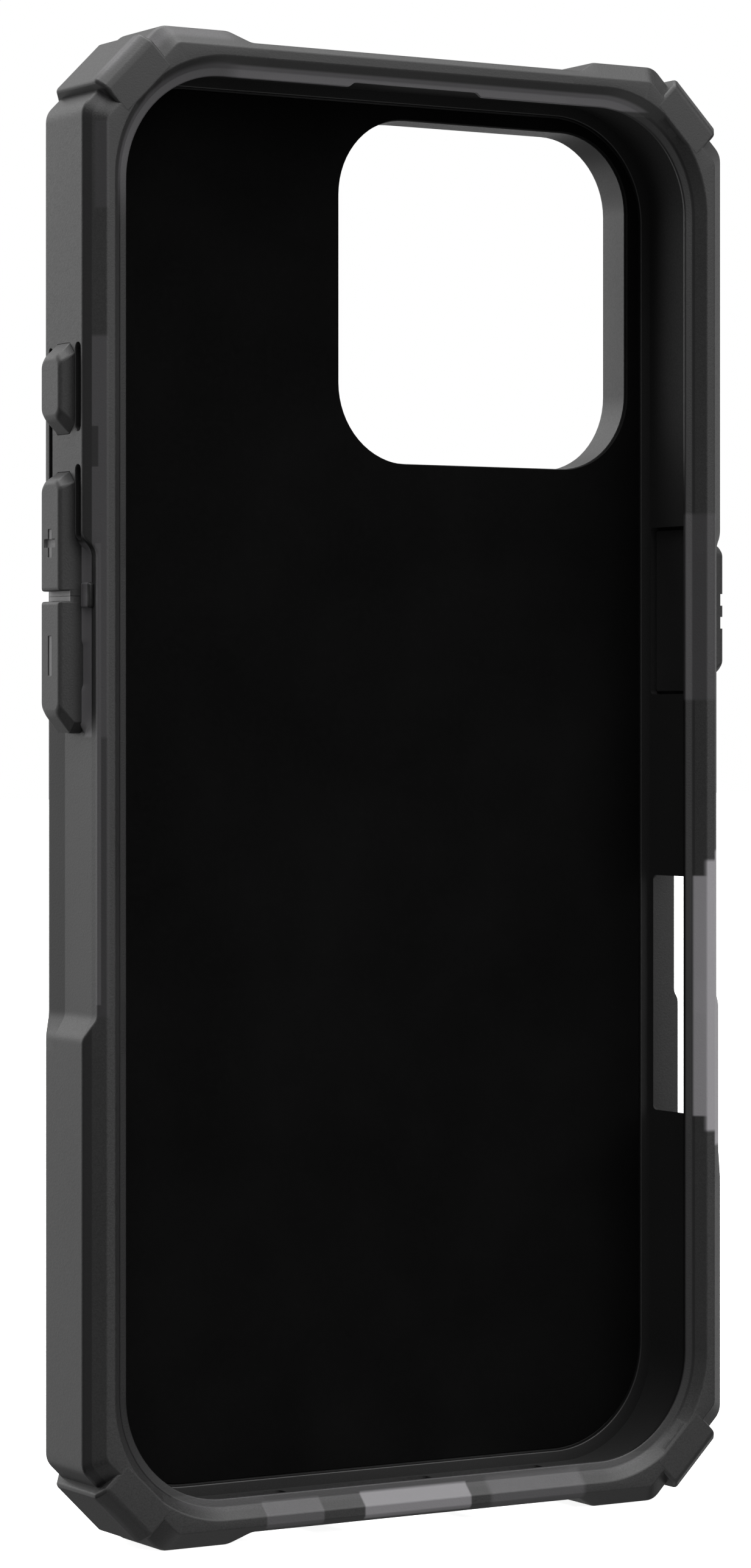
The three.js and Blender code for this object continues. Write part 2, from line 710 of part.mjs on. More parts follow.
// One of the arc-shaped magnets, all alike, that together make the ring.
function ringMagnet(index) {
  const pitch = (2 * Math.PI) / MAGNET_COUNT;
  const gapAngle = MAGNET_GAP / MAGNET_INNER;
  const start = index * pitch + gapAngle / 2;
  const end = (index + 1) * pitch - gapAngle / 2;
  const arc = new THREE.Shape();
  arc.absarc(0, 0, MAGNET_OUTER, start, end, false);
  arc.absarc(0, 0, MAGNET_INNER, end, start, true);
  return plate(arc.extractPoints(ARC_SEGMENTS).shape, MAGNET_FRONT_Y, MAGNET_REAR_Y);
}

const phoneCase = new THREE.Group();
phoneCase.add(mesh("core_frame", coreFrame(), bumperMaterial));
phoneCase.add(mesh("back_shell", backShell(), shellMaterial));
phoneCase.add(mesh("camera_guard", cameraGuard(), guardMaterial));
phoneCase.add(mesh("inner_liner", innerLiner(), linerMaterial));
const backing = ring(MAGNET_INNER, MAGNET_OUTER, BACKING_FRONT_Y, BACKING_FRONT_Y + BACKING_DEPTH);
phoneCase.add(mesh("magnet_backing_ring", backing, steelMaterial));
for (let i = 0; i < MAGNET_COUNT; i += 1) {
  const name = `ring_magnet_${String(i + 1).padStart(2, "0")}`;
  phoneCase.add(mesh(name, ringMagnet(i), magnetMaterial));
}
const bar = plate(barOutline(0), MAGNET_FRONT_Y, MAGNET_REAR_Y);
phoneCase.add(mesh("alignment_magnet", bar, magnetMaterial));
Object.entries(BUTTONS).forEach(([name, spec]) => {
  phoneCase.add(mesh(name, button(spec), buttonMaterial));
});

export default phoneCase;
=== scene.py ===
"""Looks for a rugged phone case: a smoky bumper frame with its side buttons, a back shell with a camera
guard, a soft liner and the magnets between them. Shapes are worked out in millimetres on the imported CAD
frame (+X right, +Y to the back, +Z up) and scaled to metres when a piece is finished."""

import math

import bmesh
import bpy
import numpy as np
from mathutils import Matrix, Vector


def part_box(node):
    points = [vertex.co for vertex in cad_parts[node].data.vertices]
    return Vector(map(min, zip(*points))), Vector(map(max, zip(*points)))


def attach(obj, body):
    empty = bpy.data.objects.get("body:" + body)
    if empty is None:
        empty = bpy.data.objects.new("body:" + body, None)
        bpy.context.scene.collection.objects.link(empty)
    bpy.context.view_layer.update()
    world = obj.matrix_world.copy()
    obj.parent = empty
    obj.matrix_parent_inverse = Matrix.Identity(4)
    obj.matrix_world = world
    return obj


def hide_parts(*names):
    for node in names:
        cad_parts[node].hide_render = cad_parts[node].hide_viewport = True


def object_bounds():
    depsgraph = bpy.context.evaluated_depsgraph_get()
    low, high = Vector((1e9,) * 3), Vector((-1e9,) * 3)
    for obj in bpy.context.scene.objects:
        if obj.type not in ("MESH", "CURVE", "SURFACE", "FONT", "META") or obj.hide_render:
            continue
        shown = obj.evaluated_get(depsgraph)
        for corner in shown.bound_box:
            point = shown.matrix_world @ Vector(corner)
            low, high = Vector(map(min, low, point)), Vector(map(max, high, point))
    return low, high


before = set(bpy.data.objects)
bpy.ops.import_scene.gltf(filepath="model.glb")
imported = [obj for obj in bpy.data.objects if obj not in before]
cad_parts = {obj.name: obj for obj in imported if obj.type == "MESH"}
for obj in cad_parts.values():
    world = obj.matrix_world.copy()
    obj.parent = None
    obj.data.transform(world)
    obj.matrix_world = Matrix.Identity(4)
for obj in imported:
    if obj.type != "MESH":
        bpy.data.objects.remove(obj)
cad_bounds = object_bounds()

MM = 0.001

# How far a cutter starts before the wall it opens, and how far it runs past the surface.
CUT_BEFORE = 1
CUT_PAST = 2

# The gap left round a part that sits in another.
FIT = 0.1


def box_mm(node):
    """The lowest and highest corners of a CAD node in millimetres."""
    low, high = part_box(node)
    return np.array(low) / MM, np.array(high) / MM


FRAME_LOW, FRAME_HIGH = box_mm("core_frame")
SHELL_LOW, SHELL_HIGH = box_mm("back_shell")
LINER_LOW, LINER_HIGH = box_mm("inner_liner")
GUARD_LOW, GUARD_HIGH = box_mm("camera_guard")

# Outer form of the bumper. A SUM is where a corner face lies: |x| + |z| on it.
SIDE_X = FRAME_HIGH[0]
END_Z = FRAME_HIGH[2]
FRONT_Y = FRAME_LOW[1]
BACK_Y = FRAME_HIGH[1]
CHAMFER_DEPTH = 1.64
REAR_CHAMFER = 2.2
FRONT_SUM = SIDE_X + END_Z - 12.2
OUTER_SUM = SIDE_X + END_Z - 8.95
REAR_SUM = SIDE_X + END_Z - 11.75
CORNER_ROUND = 2
SLANT_ROUND = 1

# Hollow: lip, cavity, ledge and the rebate for the shell.
CAVITY_X = SIDE_X - 3.8
CAVITY_Z = END_Z - 3.7
OPEN_X = SIDE_X - 4.95
OPEN_Z = END_Z - 4.85
OPEN_ROUND = 11.3
GLASS_Y = FRONT_Y + 1.7
LIP_Y = GLASS_Y - 0.35
LIP_SLOPE = 0.85
LIP_SLOPE_RISE = 0.13
RING_INNER = 2
RING_OUTER = 3
CAVITY_ROUND = OPEN_ROUND + 0.35
LEDGE_DEPTH = 0.55
LEDGE_OVERLAP = 1.2

# Recesses in the rails: places along the rail, and how deep they are.
RECESS = 1.2
SHALLOW = 0.6
RECESS_ROUND = 1.6
FLARE_Y = -2.1
FLARE_OUT = 0.4
FLARE_END = 0.667
BLOCK_INNER = 20.4
BLOCK_FULL = 22.7
LEFT_RAMPS = ((-25.6, -23.5), (24.4, 25.7))
RIGHT_RAMPS = ((-43.5, -40.3), (-24.2, -23.5), (26.2, 27.4))

# Straps over the corner faces.
STRAP_HALF = 3.8
STRAP_ROOT = 104.2
STRAP_FRONT = 109.3
STRAP_OUTER = 110.9
STRAP_REAR = 107.4
STRAP_CHAMFER = 1.1
STRAP_ROUND = 0.42
STRAP_PROUD = 0.02

# Stations round the wall.
FAN_X = 23.4
FAN_Z = 62.4
FAN_STEPS = 84
ARC_STEPS = 32
FINE_STEP = 0.22
COARSE_STEP = 1.3
RAMP_MARGIN = 1.8
FILLET_STEPS = 5
LEAST_TANGENT = 0.06
FILLET_SHARE = 0.45
LEAST_COSINE = -0.999

# Openings through the walls.
BUTTON_Y = GLASS_Y / 2
PORT_FRONT = -7.9
PORT_REAR = -0.7
PORT_ROUND = 0.5
PORT_LIP = 0.3
BOTTOM_PORTS = ((-18.8, -12.2), (-6.9, 5.96), (9.05, 20.2))
CONTROL_INNER = (-36.5, -10.3)
CONTROL_OUTER = (-40.2, -7.1)
FRONT_SLOTS = ((36.6, 45.65), (25.4, 33.15))
FRONT_SLOT_Y = (-7.9, -6.73)
REAR_SLOT_Y = (-1.55, -0.87)
REAR_SLOT_Z = (6.5, 45.4)
FRONT_SLOT_ROUND = 0.58
REAR_SLOT_ROUND = 0.33
SLOT_LIP = 0.1
DIP_Z = (10.4, 14.9)
DIP_DEPTH = 0.22
DIP_SOFT = 0.4
POCKET_X = CAVITY_X + 1.4
POCKET_HALF = 4
POCKET_OUT = 1.4
POCKET_ROUND = 0.5
MOUTH_GAP = 0.05
RELIEF_HALF = 7.6
RELIEF_DEPTH = 0.5
RELIEF_RUNOUT = 0.7
RELIEF_ROUND = 0.6

# A cove of wall in front of the volume pads, and a small block across it.
COVE_Z = (5.4, 26)
COVE_TAPER = 1.3
COVE_Y = (-8.13, -6.5)
COVE_RISE = 0.5
COVE_STEPS = 84
COVE_ROOT = 0.4
COVE_LEAST = 0.1
COVE_BEND = 0.35
BLOCK_Z = (18.5, 21.1)
BLOCK_Y = (-8.4, -6.4)
BLOCK_RISE = 0.5
BLOCK_CORNER = 0.3
BLOCK_ROUND = 0.22

# Button pads: half widths, corner cuts, and the flange that holds a pad in the wall.
PAD_BASE_HALF = 2.43
PAD_CROWN_HALF = 2.08
BASE_CUT = 1.1
CROWN_CUT = 0.75
SQUARE_CUT = 0.12
BASE_ROUND = 0.3
CROWN_ROUND = 0.9
PAD_FILLET = 0.42
FLANGE_DEPTH = 0.6
FLANGE_HALF = 3.9
FLANGE_OUT = 1.1
FLANGE_CORNER = 0.3
FLANGE_ROUND = 0.12
FLANGE_X = POCKET_X - FIT
PAD_ROOT = FLANGE_X - FLANGE_DEPTH / 2
NOTCH_RISE = 0.43
NOTCH_FOOT = 0.37
HAIRLINE = 0.02
FOOT_TAPER = 0.1

# A corner cut at 45 degrees shrinks by this share of an inset, and never to less than this.
CUT_SHRINK = 0.59
LEAST_CUT = 0.05

# How far the crown slopes at the lower and upper end of each pad.
ACTION_SLOPES = (1.6, 1.4)
UP_SLOPES = (0, 1)
DOWN_SLOPES = (2, 0)
POWER_SLOPES = (1.3, 0.8)

# Marks cut into the crowns: middles along the side, half lengths and widths, and depths.
PLUS_Z = 25.15
PLUS_BAR = (1.2, 0.43)
PLUS_LENGTH = 1.45
MINUS_Z = 13.6
MINUS_LENGTH = 2.05
GROOVE_Z = (20.4, 17.85)
GROOVE_HALF = 0.65
MARK_HALF = 0.37
PLUS_DEEP = 0.3
MARK_DEPTH = 0.1
GROOVE_DEPTH = 0.5
MARK_LIP = 0.06
MARK_ROUND = 0.08

# Back stack: shell relief, camera window and magnets.
SHELL_INSET = 0.2
DISC_RADIUS = 30
DISC_RISE = 0.15
BORDER_WIDTH = 2.6
BORDER_RISE = 0.8
BORDER_ROUND = 0.5
BORDER_LEAN = 0.9
RIB_WIDTH = 3
RIB_RISE = 0.6
RIB_ROUND = 0.4
SHELL_CUT = 8
WINDOW_HALF = 18.6
WINDOW_CORNER = 8.5
GUARD_WALL = 2.4
GUARD_SKIRT = 1.2
GUARD_CHAMFER = 0.6
GUARD_ROUND = 0.7
CIRCLE_STEPS = 120
MAGNET_INNER = 22.8
MAGNET_OUTER = 27.8
MAGNET_POCKET_Y = 1.45
BAR_HALF = (2.6, 9.1)
BAR_Z = -42


# ---------------------------------------------------------------- outlines

# The most of an edge that the rounding at one of its ends may use.
EDGE_SHARE = 0.48

# How nearly parallel a ray and an edge may be, and how far past its ends an edge still counts.
PARALLEL = 1e-12
TOUCH = 1e-9


def rounded(corners, steps=8):
    """A closed outline through corners (x, z, radius), each rounded by an arc of that radius or less."""
    points = []
    for i, (x, z, radius) in enumerate(corners):
        before = corners[i - 1]
        after = corners[(i + 1) % len(corners)]
        if radius == 0:
            points.append((x, z))
            continue
        arriving = math.atan2(z - before[1], x - before[0])
        leaving = math.atan2(after[1] - z, after[0] - x)
        turn = (leaving - arriving + math.pi) % (2 * math.pi) - math.pi
        room = EDGE_SHARE * min(math.dist((x, z), before[:2]), math.dist((x, z), after[:2]))
        tangent = min(radius * math.tan(abs(turn) / 2), room)
        bend = math.copysign(tangent / math.tan(abs(turn) / 2), turn)
        normal = arriving - math.pi / 2
        centre_x = x - tangent * math.cos(arriving) - bend * math.cos(normal)
        centre_z = z - tangent * math.sin(arriving) - bend * math.sin(normal)
        for angle in np.linspace(normal, normal + turn, steps + 1):
            points.append((centre_x + bend * math.cos(angle), centre_z + bend * math.sin(angle)))
    return np.array(points)


def rectangle(half_x, half_z, radius, middle=(0, 0), steps=8):
    corners = [(-half_x, -half_z), (half_x, -half_z), (half_x, half_z), (-half_x, half_z)]
    return rounded([(middle[0] + x, middle[1] + z, radius) for x, z in corners], steps)


def octagon(half_x, half_z, total, radius):
    """An octagon whose corner faces lie on |x| + |z| = total."""
    cut_x = total - half_z
    cut_z = total - half_x
    corners = [
        (-cut_x, -half_z),
        (cut_x, -half_z),
        (half_x, -cut_z),
        (half_x, cut_z),
        (cut_x, half_z),
        (-cut_x, half_z),
        (-half_x, cut_z),
        (-half_x, -cut_z),
    ]
    return rounded([(x, z, radius) for x, z in corners])


def outer_outline():
    """The widest outline of the bumper, with the recesses in its four rails."""
    cut_x = OUTER_SUM - END_Z
    cut_z = OUTER_SUM - SIDE_X
    corner, ramp = CORNER_ROUND, RECESS_ROUND
    floor_z = END_Z - RECESS
    floor_x = SIDE_X - RECESS
    (left_low, left_low_floor), (left_high_floor, left_high) = LEFT_RAMPS
    (shallow, shallow_floor), (step, step_floor), (right_high_floor, right_high) = RIGHT_RAMPS
    return rounded(
        [
            (-cut_x, -END_Z, corner),
            (-BLOCK_FULL, -END_Z, ramp),
            (-BLOCK_INNER, -floor_z, ramp),
            (BLOCK_INNER, -floor_z, ramp),
            (BLOCK_FULL, -END_Z, ramp),
            (cut_x, -END_Z, corner),
            (SIDE_X, -cut_z, corner),
            (SIDE_X, shallow, ramp),
            (SIDE_X - SHALLOW, shallow_floor, ramp),
            (SIDE_X - SHALLOW, step, ramp),
            (floor_x, step_floor, ramp),
            (floor_x, right_high_floor, ramp),
            (SIDE_X, right_high, ramp),
            (SIDE_X, cut_z, corner),
            (cut_x, END_Z, corner),
            (BLOCK_FULL, END_Z, ramp),
            (BLOCK_INNER, floor_z, ramp),
            (-BLOCK_INNER, floor_z, ramp),
            (-BLOCK_FULL, END_Z, ramp),
            (-cut_x, END_Z, corner),
            (-SIDE_X, cut_z, corner),
            (-SIDE_X, left_high, ramp),
            (-floor_x, left_high_floor, ramp),
            (-floor_x, left_low_floor, ramp),
            (-SIDE_X, left_low, ramp),
            (-SIDE_X, -cut_z, corner),
        ]
    )


def around(middle, half):
    return middle - half, middle + half


def bezier(start, bend, end, steps):
    """Points, or rings of points, along a curve from start to end that leans towards bend."""
    return [(1 - t) ** 2 * start + 2 * t * (1 - t) * bend + t**2 * end for t in np.linspace(0, 1, steps)]


def cross(a, b):
    return a[..., 0] * b[..., 1] - a[..., 1] * b[..., 0]


def reach(outline, origins, directions):
    """How far out along each ray the outline lies."""
    start = outline[None]
    edge = np.roll(outline, -1, axis=0)[None] - start
    offset = start - origins[:, None]
    ray = directions[:, None]
    slant = cross(ray, edge)
    slant = np.where(np.abs(slant) < PARALLEL, PARALLEL, slant)
    along = cross(offset, edge) / slant
    share = cross(offset, ray) / slant
    hit = (share > -TOUCH) & (share < 1 + TOUCH) & (along > 0)
    return np.where(hit, along, 0).max(axis=1)


# ---------------------------------------------------------------- mesh helpers


def mesh_object(name, vertices, faces):
    """A closed mesh in millimetres with its faces turned outwards."""
    mesh = bpy.data.meshes.new(name)
    mesh.from_pydata([tuple(v) for v in vertices], [], [tuple(f) for f in faces])
    obj = bpy.data.objects.new(name, mesh)
    bpy.context.scene.collection.objects.link(obj)
    bm = bmesh.new()
    bm.from_mesh(mesh)
    bmesh.ops.recalc_face_normals(bm, faces=bm.faces)
    if bm.calc_volume(signed=True) < 0:
        bmesh.ops.reverse_faces(bm, faces=bm.faces)
    bm.to_mesh(mesh)
    bm.free()
    return obj


def loft(name, rings):
    """A closed body through rings of equal length, each an array of points (x, y, z)."""
    count = len(rings[0])
    faces = []
    for ring in range(len(rings) - 1):
        low = ring * count
        for i in range(count):
            j = (i + 1) % count
            faces.append((low + i, low + j, low + count + j, low + count + i))
    faces.append(range(count))
    faces.append(range((len(rings) - 1) * count, len(rings) * count))
    return mesh_object(name, np.concatenate(rings), faces)


def at_depth(outline, y):
    """Points of an outline (x, z) at one depth."""
    return np.column_stack([outline[:, 0], np.full(len(outline), y), outline[:, 1]])


def at_side(outline, x):
    """Points of an outline (y, z) on a plane across X."""
    return np.column_stack([np.full(len(outline), x), outline])


def at_end(outline, z):
    """Points of an outline (x, y) on a plane across Z."""
    return np.column_stack([outline, np.full(len(outline), z)])


def span_outline(span_a, span_b, radius, grow=0, steps=5):
    """A rounded rectangle over two spans, grown by grow all round."""
    half_a = (span_a[1] - span_a[0]) / 2 + grow
    half_b = (span_b[1] - span_b[0]) / 2 + grow
    middle = ((span_a[0] + span_a[1]) / 2, (span_b[0] + span_b[1]) / 2)
    return rectangle(half_a, half_b, radius + grow, middle, steps)


# The arc of a rounded rim stops short of the surface's own direction, so that the cut stays clean.
RIM_ANGLES = (0, 22.5, 45, 67.5, 80)
RIM_PAST = 1.5
RIM_GROWTH = 0.95


def flare(inner, outer, lip):
    """Places and growths of a cutter that opens in a quarter round of radius lip at the outer surface."""
    away = math.copysign(1, outer - inner)
    rows = [(inner, 0)]
    for angle in np.radians(RIM_ANGLES):
        rows.append((outer - away * lip * (1 - math.sin(angle)), lip * (1 - math.cos(angle))))
    rows.append((outer + away * RIM_PAST, lip * RIM_GROWTH))
    return rows


def apply_modifiers(obj):
    depsgraph = bpy.context.evaluated_depsgraph_get()
    mesh = bpy.data.meshes.new_from_object(obj.evaluated_get(depsgraph))
    obj.modifiers.clear()
    obj.data = mesh


def combine(obj, operation, tools):
    """Joins the tools to obj or cuts them out of it, and removes them."""
    for tool in tools:
        modifier = obj.modifiers.new(operation, "BOOLEAN")
        modifier.operation = operation
        modifier.object = tool
        modifier.solver = "MANIFOLD"
    apply_modifiers(obj)
    for tool in tools:
        bpy.data.objects.remove(tool)


def bevel(obj, width, segments, angle=28):
    """Rounds every edge of obj that turns by more than angle."""
    modifier = obj.modifiers.new("round", "BEVEL")
    modifier.width = width
    modifier.segments = segments
    modifier.limit_method = "ANGLE"
    modifier.angle_limit = math.radians(angle)
    modifier.harden_normals = False
    apply_modifiers(obj)


# Millimetres at which vertices merge and slivers go, and the angle from which an edge stays sharp.
MERGE = 2e-4
SLIVER = 1e-4
SHARP_ANGLE = 33
NORMAL_WEIGHT = 80


def finish_piece(obj, body, nodes, materials):
    """Cleans a piece, scales it to metres, shades it and sets it on its body."""
    bm = bmesh.new()
    bm.from_mesh(obj.data)
    bmesh.ops.remove_doubles(bm, verts=bm.verts, dist=MERGE)
    bmesh.ops.dissolve_degenerate(bm, edges=bm.edges, dist=SLIVER)
    bmesh.ops.scale(bm, vec=(MM, MM, MM), verts=bm.verts)
    limit = math.radians(SHARP_ANGLE)
    for face in bm.faces:
        face.smooth = True
    for edge in bm.edges:
        edge.smooth = edge.is_manifold and edge.calc_face_angle(0) < limit
    bm.to_mesh(obj.data)
    bm.free()
    indices = np.zeros(len(obj.data.polygons), np.int32)
    obj.data.polygons.foreach_get("material_index", indices)
    obj.data.materials.clear()
    for material in materials:
        obj.data.materials.append(material)
    obj.data.polygons.foreach_set("material_index", np.minimum(indices, len(materials) - 1))
    weighted = obj.modifiers.new("face_weighted_normals", "WEIGHTED_NORMAL")
    weighted.keep_sharp = True
    weighted.weight = NORMAL_WEIGHT
    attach(obj, body)
    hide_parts(*nodes)
    return obj


# ---------------------------------------------------------------- bumper frame


def samples(low, high, ramps):
    """Places from low to high, closer together over and beside the ramps."""
    places = [low]
    while places[-1] < high - FINE_STEP:
        near = any(a - RAMP_MARGIN < places[-1] < b + RAMP_MARGIN for a, b in ramps)
        places.append(min(places[-1] + (FINE_STEP if near else COARSE_STEP), high))
    places[-1] = high
    return np.array(places)


def stations():
    """Rays that cut the wall all the way round: square to the rails, fanned out at the corners."""
    origins, directions = [], []

    def rail(points, direction):
        origins.extend(points)
        directions.extend([direction] * len(points))

    def fan(centre, start):
        for angle in np.linspace(start, start + 90, FAN_STEPS + 1)[1:-1]:
            origins.append(centre)
            directions.append((math.cos(math.radians(angle)), math.sin(math.radians(angle))))

    block = ((BLOCK_INNER, BLOCK_FULL), (-BLOCK_FULL, -BLOCK_INNER))
    right = samples(-FAN_Z, FAN_Z, RIGHT_RAMPS)
    left = samples(-FAN_Z, FAN_Z, LEFT_RAMPS)[::-1]
    across = samples(-FAN_X, FAN_X, block)
    rail([(FAN_X, z) for z in right], (1, 0))
    fan((FAN_X, FAN_Z), 0)
    rail([(x, FAN_Z) for x in across[::-1]], (0, 1))
    fan((-FAN_X, FAN_Z), 90)
    rail([(-FAN_X, z) for z in left], (-1, 0))
    fan((-FAN_X, -FAN_Z), 180)
    rail([(x, -FAN_Z) for x in across], (0, -1))
    fan((FAN_X, -FAN_Z), 270)
    return np.array(origins, float), np.array(directions, float)


def fillet(path, radii):
    """Rounds the corners of closed paths (station, corner, 2). Also says which corner each point is from."""
    before = path - np.roll(path, 1, axis=1)
    after = np.roll(path, -1, axis=1) - path
    length_before = np.linalg.norm(before, axis=2)
    length_after = np.linalg.norm(after, axis=2)
    unit_before = before / length_before[..., None]
    unit_after = after / length_after[..., None]
    cosine = np.clip((unit_before * unit_after).sum(axis=2), LEAST_COSINE, 1)
    half_tangent = np.sqrt((1 - cosine) / (1 + cosine))
    points, owners = [], []
    for i, radius in enumerate(radii):
        corner = path[:, i]
        if radius == 0:
            points.append(corner)
            owners.append(i)
            continue
        tangent = np.maximum(radius * half_tangent[:, i], LEAST_TANGENT)
        room = FILLET_SHARE * np.minimum(length_before[:, i], length_after[:, i])
        tangent = np.minimum(tangent, room)[:, None]
        start = corner - tangent * unit_before[:, i]
        end = corner + tangent * unit_after[:, i]
        points.extend(bezier(start, corner, end, FILLET_STEPS))
        owners.extend([i] * FILLET_STEPS)
    return np.stack(points, axis=1), owners


def wall_sections(origins, directions):
    """One closed section of the wall for each station, as distances along its ray and depths. Each key
    is a corner of the section: a distance, a depth and a rounding."""

    def out(outline):
        return reach(outline, origins, directions)

    def hollow(grow):
        return out(rectangle(OPEN_X + grow, OPEN_Z + grow, OPEN_ROUND + grow, steps=ARC_STEPS))

    outer = out(outer_outline())
    full = out(octagon(SIDE_X, END_Z, OUTER_SUM, CORNER_ROUND))
    front = out(octagon(OPEN_X + RING_OUTER, OPEN_Z + RING_OUTER, FRONT_SUM, SLANT_ROUND))
    rear = out(octagon(SIDE_X - REAR_CHAMFER, END_Z - REAR_CHAMFER, REAR_SUM, SLANT_ROUND))
    rebate = out(shell_outline(FIT))
    ledge = out(rectangle(CAVITY_X - LEDGE_OVERLAP, CAVITY_Z - LEDGE_OVERLAP, OPEN_ROUND, steps=ARC_STEPS))
    cavity = out(rectangle(CAVITY_X, CAVITY_Z, CAVITY_ROUND, steps=ARC_STEPS))
    depth = full - outer
    chamfer_y = FRONT_Y + CHAMFER_DEPTH * (outer - front) / (full - front)
    keys = [
        (hollow(RING_INNER), FRONT_Y, 0.35),
        (front, FRONT_Y, 0.35),
        (outer, chamfer_y, 0.55),
        (outer, FLARE_Y, 1),
        (outer + FLARE_OUT * depth, FLARE_END * depth, 0.6),
        (rear, BACK_Y, 0.3),
        (rebate, BACK_Y, 0.1),
        (rebate, LEDGE_DEPTH, 0),
        (ledge, LEDGE_DEPTH, 0),
        (ledge, 0, 0.12),
        (cavity, 0, 0),
        (cavity, GLASS_Y, 0),
        (hollow(0), GLASS_Y, 0),
        (hollow(0), LIP_Y, 0.2),
        (hollow(LIP_SLOPE), LIP_Y - LIP_SLOPE_RISE, 0.3),
    ]
    path = np.stack([np.column_stack(np.broadcast_arrays(r, y)) for r, y, _ in keys], axis=1)
    return fillet(path, [radius for _, _, radius in keys])


# The keys whose faces look into the cavity; these faces get a near-black painted shade.
CAVITY_KEYS = (9, 10, 11)


def swept_wall():
    """The bumper's wall swept round the phone; its inside faces take the second material, a near-black
    painted shade.
    """
    origins, directions = stations()
    sections, owners = wall_sections(origins, directions)
    flat = origins[:, None] + directions[:, None] * sections[..., :1]
    vertices = np.stack([flat[..., 0], sections[..., 1], flat[..., 1]], axis=2)
    turns, count = vertices.shape[:2]
    faces, inside = [], []
    for s in range(turns):
        this, following = s * count, ((s + 1) % turns) * count
        for i in range(count):
            j = (i + 1) % count
            faces.append((this + i, this + j, following + j, following + i))
            inside.append(owners[i] in CAVITY_KEYS and owners[j] != owners[i])
    obj = mesh_object("core_frame_body", vertices.reshape(-1, 3), faces)
    obj.data.materials.append(bpy.data.materials.new("outside"))
    obj.data.materials.append(bpy.data.materials.new("inside"))
    obj.data.polygons.foreach_set("material_index", np.array(inside, np.int32))
    return obj


def strap(sign_x, sign_z):
    """A raised block across one corner face, running from the front ring to the back."""
    middle = (SIDE_X - END_Z) / 2
    profile = [
        (STRAP_ROOT, FRONT_Y - STRAP_PROUD),
        (STRAP_FRONT, FRONT_Y - STRAP_PROUD),
        (STRAP_OUTER, FRONT_Y + STRAP_CHAMFER),
        (STRAP_OUTER, 0),
        (STRAP_REAR, BACK_Y + STRAP_PROUD),
        (STRAP_ROOT, BACK_Y + STRAP_PROUD),
    ]
    rings = []
    for end in (-1, 1):
        slant = end * STRAP_HALF / math.sqrt(2)
        shift = middle + slant
        rings.append(np.array([(sign_x * (r / 2 + shift), y, sign_z * (r / 2 - shift)) for r, y in profile]))
    obj = loft("strap", rings)
    bevel(obj, STRAP_ROUND, 4)
    return obj


def side_cutter(side, span_y, span_z, radius, inner, outer, lip):
    """A cutter through a side wall, with rounded corners and a rounded outer rim."""
    rows = flare(inner, outer, lip)
    rings = [at_side(span_outline(span_y, span_z, radius, grow), side * x) for x, grow in rows]
    return loft("side_cutter", rings)


def port_cutters():
    span_y = (PORT_FRONT, PORT_REAR)
    rows = flare(CUT_BEFORE - CAVITY_Z, RECESS - END_Z, PORT_LIP)
    cutters = []
    for span_x in BOTTOM_PORTS:
        rings = [at_end(span_outline(span_x, span_y, PORT_ROUND, grow), z) for z, grow in rows]
        cutters.append(loft("port", rings))
    return cutters


def control_cutter():
    """The opening over the camera control widens towards the outside."""
    outer_x = SIDE_X + 1
    reach_out = (outer_x - CAVITY_X) / (SIDE_X - CAVITY_X)
    rings = []
    for x, share in ((CAVITY_X - CUT_BEFORE, 0), (CAVITY_X, 0), (outer_x, reach_out)):
        low = CONTROL_INNER[0] + share * (CONTROL_OUTER[0] - CONTROL_INNER[0])
        high = CONTROL_INNER[1] + share * (CONTROL_OUTER[1] - CONTROL_INNER[1])
        rings.append(at_side(span_outline((PORT_FRONT, PORT_REAR), (low, high), PORT_ROUND), x))
    return loft("control", rings)


def pad_cutters(side, low, high):
    """The mouth in the wall for one pad or the pair of volume pads, and the pocket for its flange."""
    gap = MOUTH_GAP
    outline = pad_outline(PAD_BASE_HALF + gap, low - gap, high + gap, (BASE_CUT, BASE_CUT), BASE_ROUND)
    inner_x = CAVITY_X - CUT_BEFORE
    mouth = loft("mouth", [at_side(outline, side * x) for x in (inner_x, SIDE_X + CUT_PAST)])
    pocket_z = (low - POCKET_OUT, high + POCKET_OUT)
    pocket = span_outline(around(BUTTON_Y, POCKET_HALF), pocket_z, POCKET_ROUND)
    return [mouth, loft("pocket", [at_side(pocket, side * x) for x in (inner_x, POCKET_X)])]


def slot_cutters():
    """The slots beside the pads on the left."""
    slots = [(FRONT_SLOT_Y, span, FRONT_SLOT_ROUND) for span in FRONT_SLOTS]
    slots.append((REAR_SLOT_Y, REAR_SLOT_Z, REAR_SLOT_ROUND))
    return [side_cutter(-1, *slot, CAVITY_X - CUT_BEFORE, SIDE_X, SLOT_LIP) for slot in slots]


def smooth(low, high, value):
    """0 below low, 1 above high and a soft step between."""
    t = min(max((value - low) / (high - low), 0), 1)
    return t * t * (3 - 2 * t)


def cove():
    """A concave run of wall that rises from the recess floor to the volume pads, with a soft dip in it."""
    floor_x = RECESS - SIDE_X
    low, high = COVE_Z
    front_most, rear = COVE_Y
    rings = []
    inset = 0.05
    for z in np.linspace(low + inset, high - inset, COVE_STEPS):
        size = smooth(low, low + COVE_TAPER, z) * (1 - smooth(high - COVE_TAPER, high, z))
        dip = smooth(*around(DIP_Z[0], DIP_SOFT), z) * (1 - smooth(*around(DIP_Z[1], DIP_SOFT), z))
        front = rear + (COVE_LEAST + (1 - COVE_LEAST) * size) * (front_most - rear)
        top = np.array((floor_x - size * (COVE_RISE - DIP_DEPTH * dip), rear))
        bend = np.array((floor_x, rear + COVE_BEND * (front - rear)))
        edge = np.array((floor_x + 0.02, front))
        root = [(floor_x + COVE_ROOT, front), (floor_x + COVE_ROOT, rear)]
        rings.append(at_end(np.concatenate([bezier(top, bend, edge, 9), root]), z))
    return loft("cove", rings)


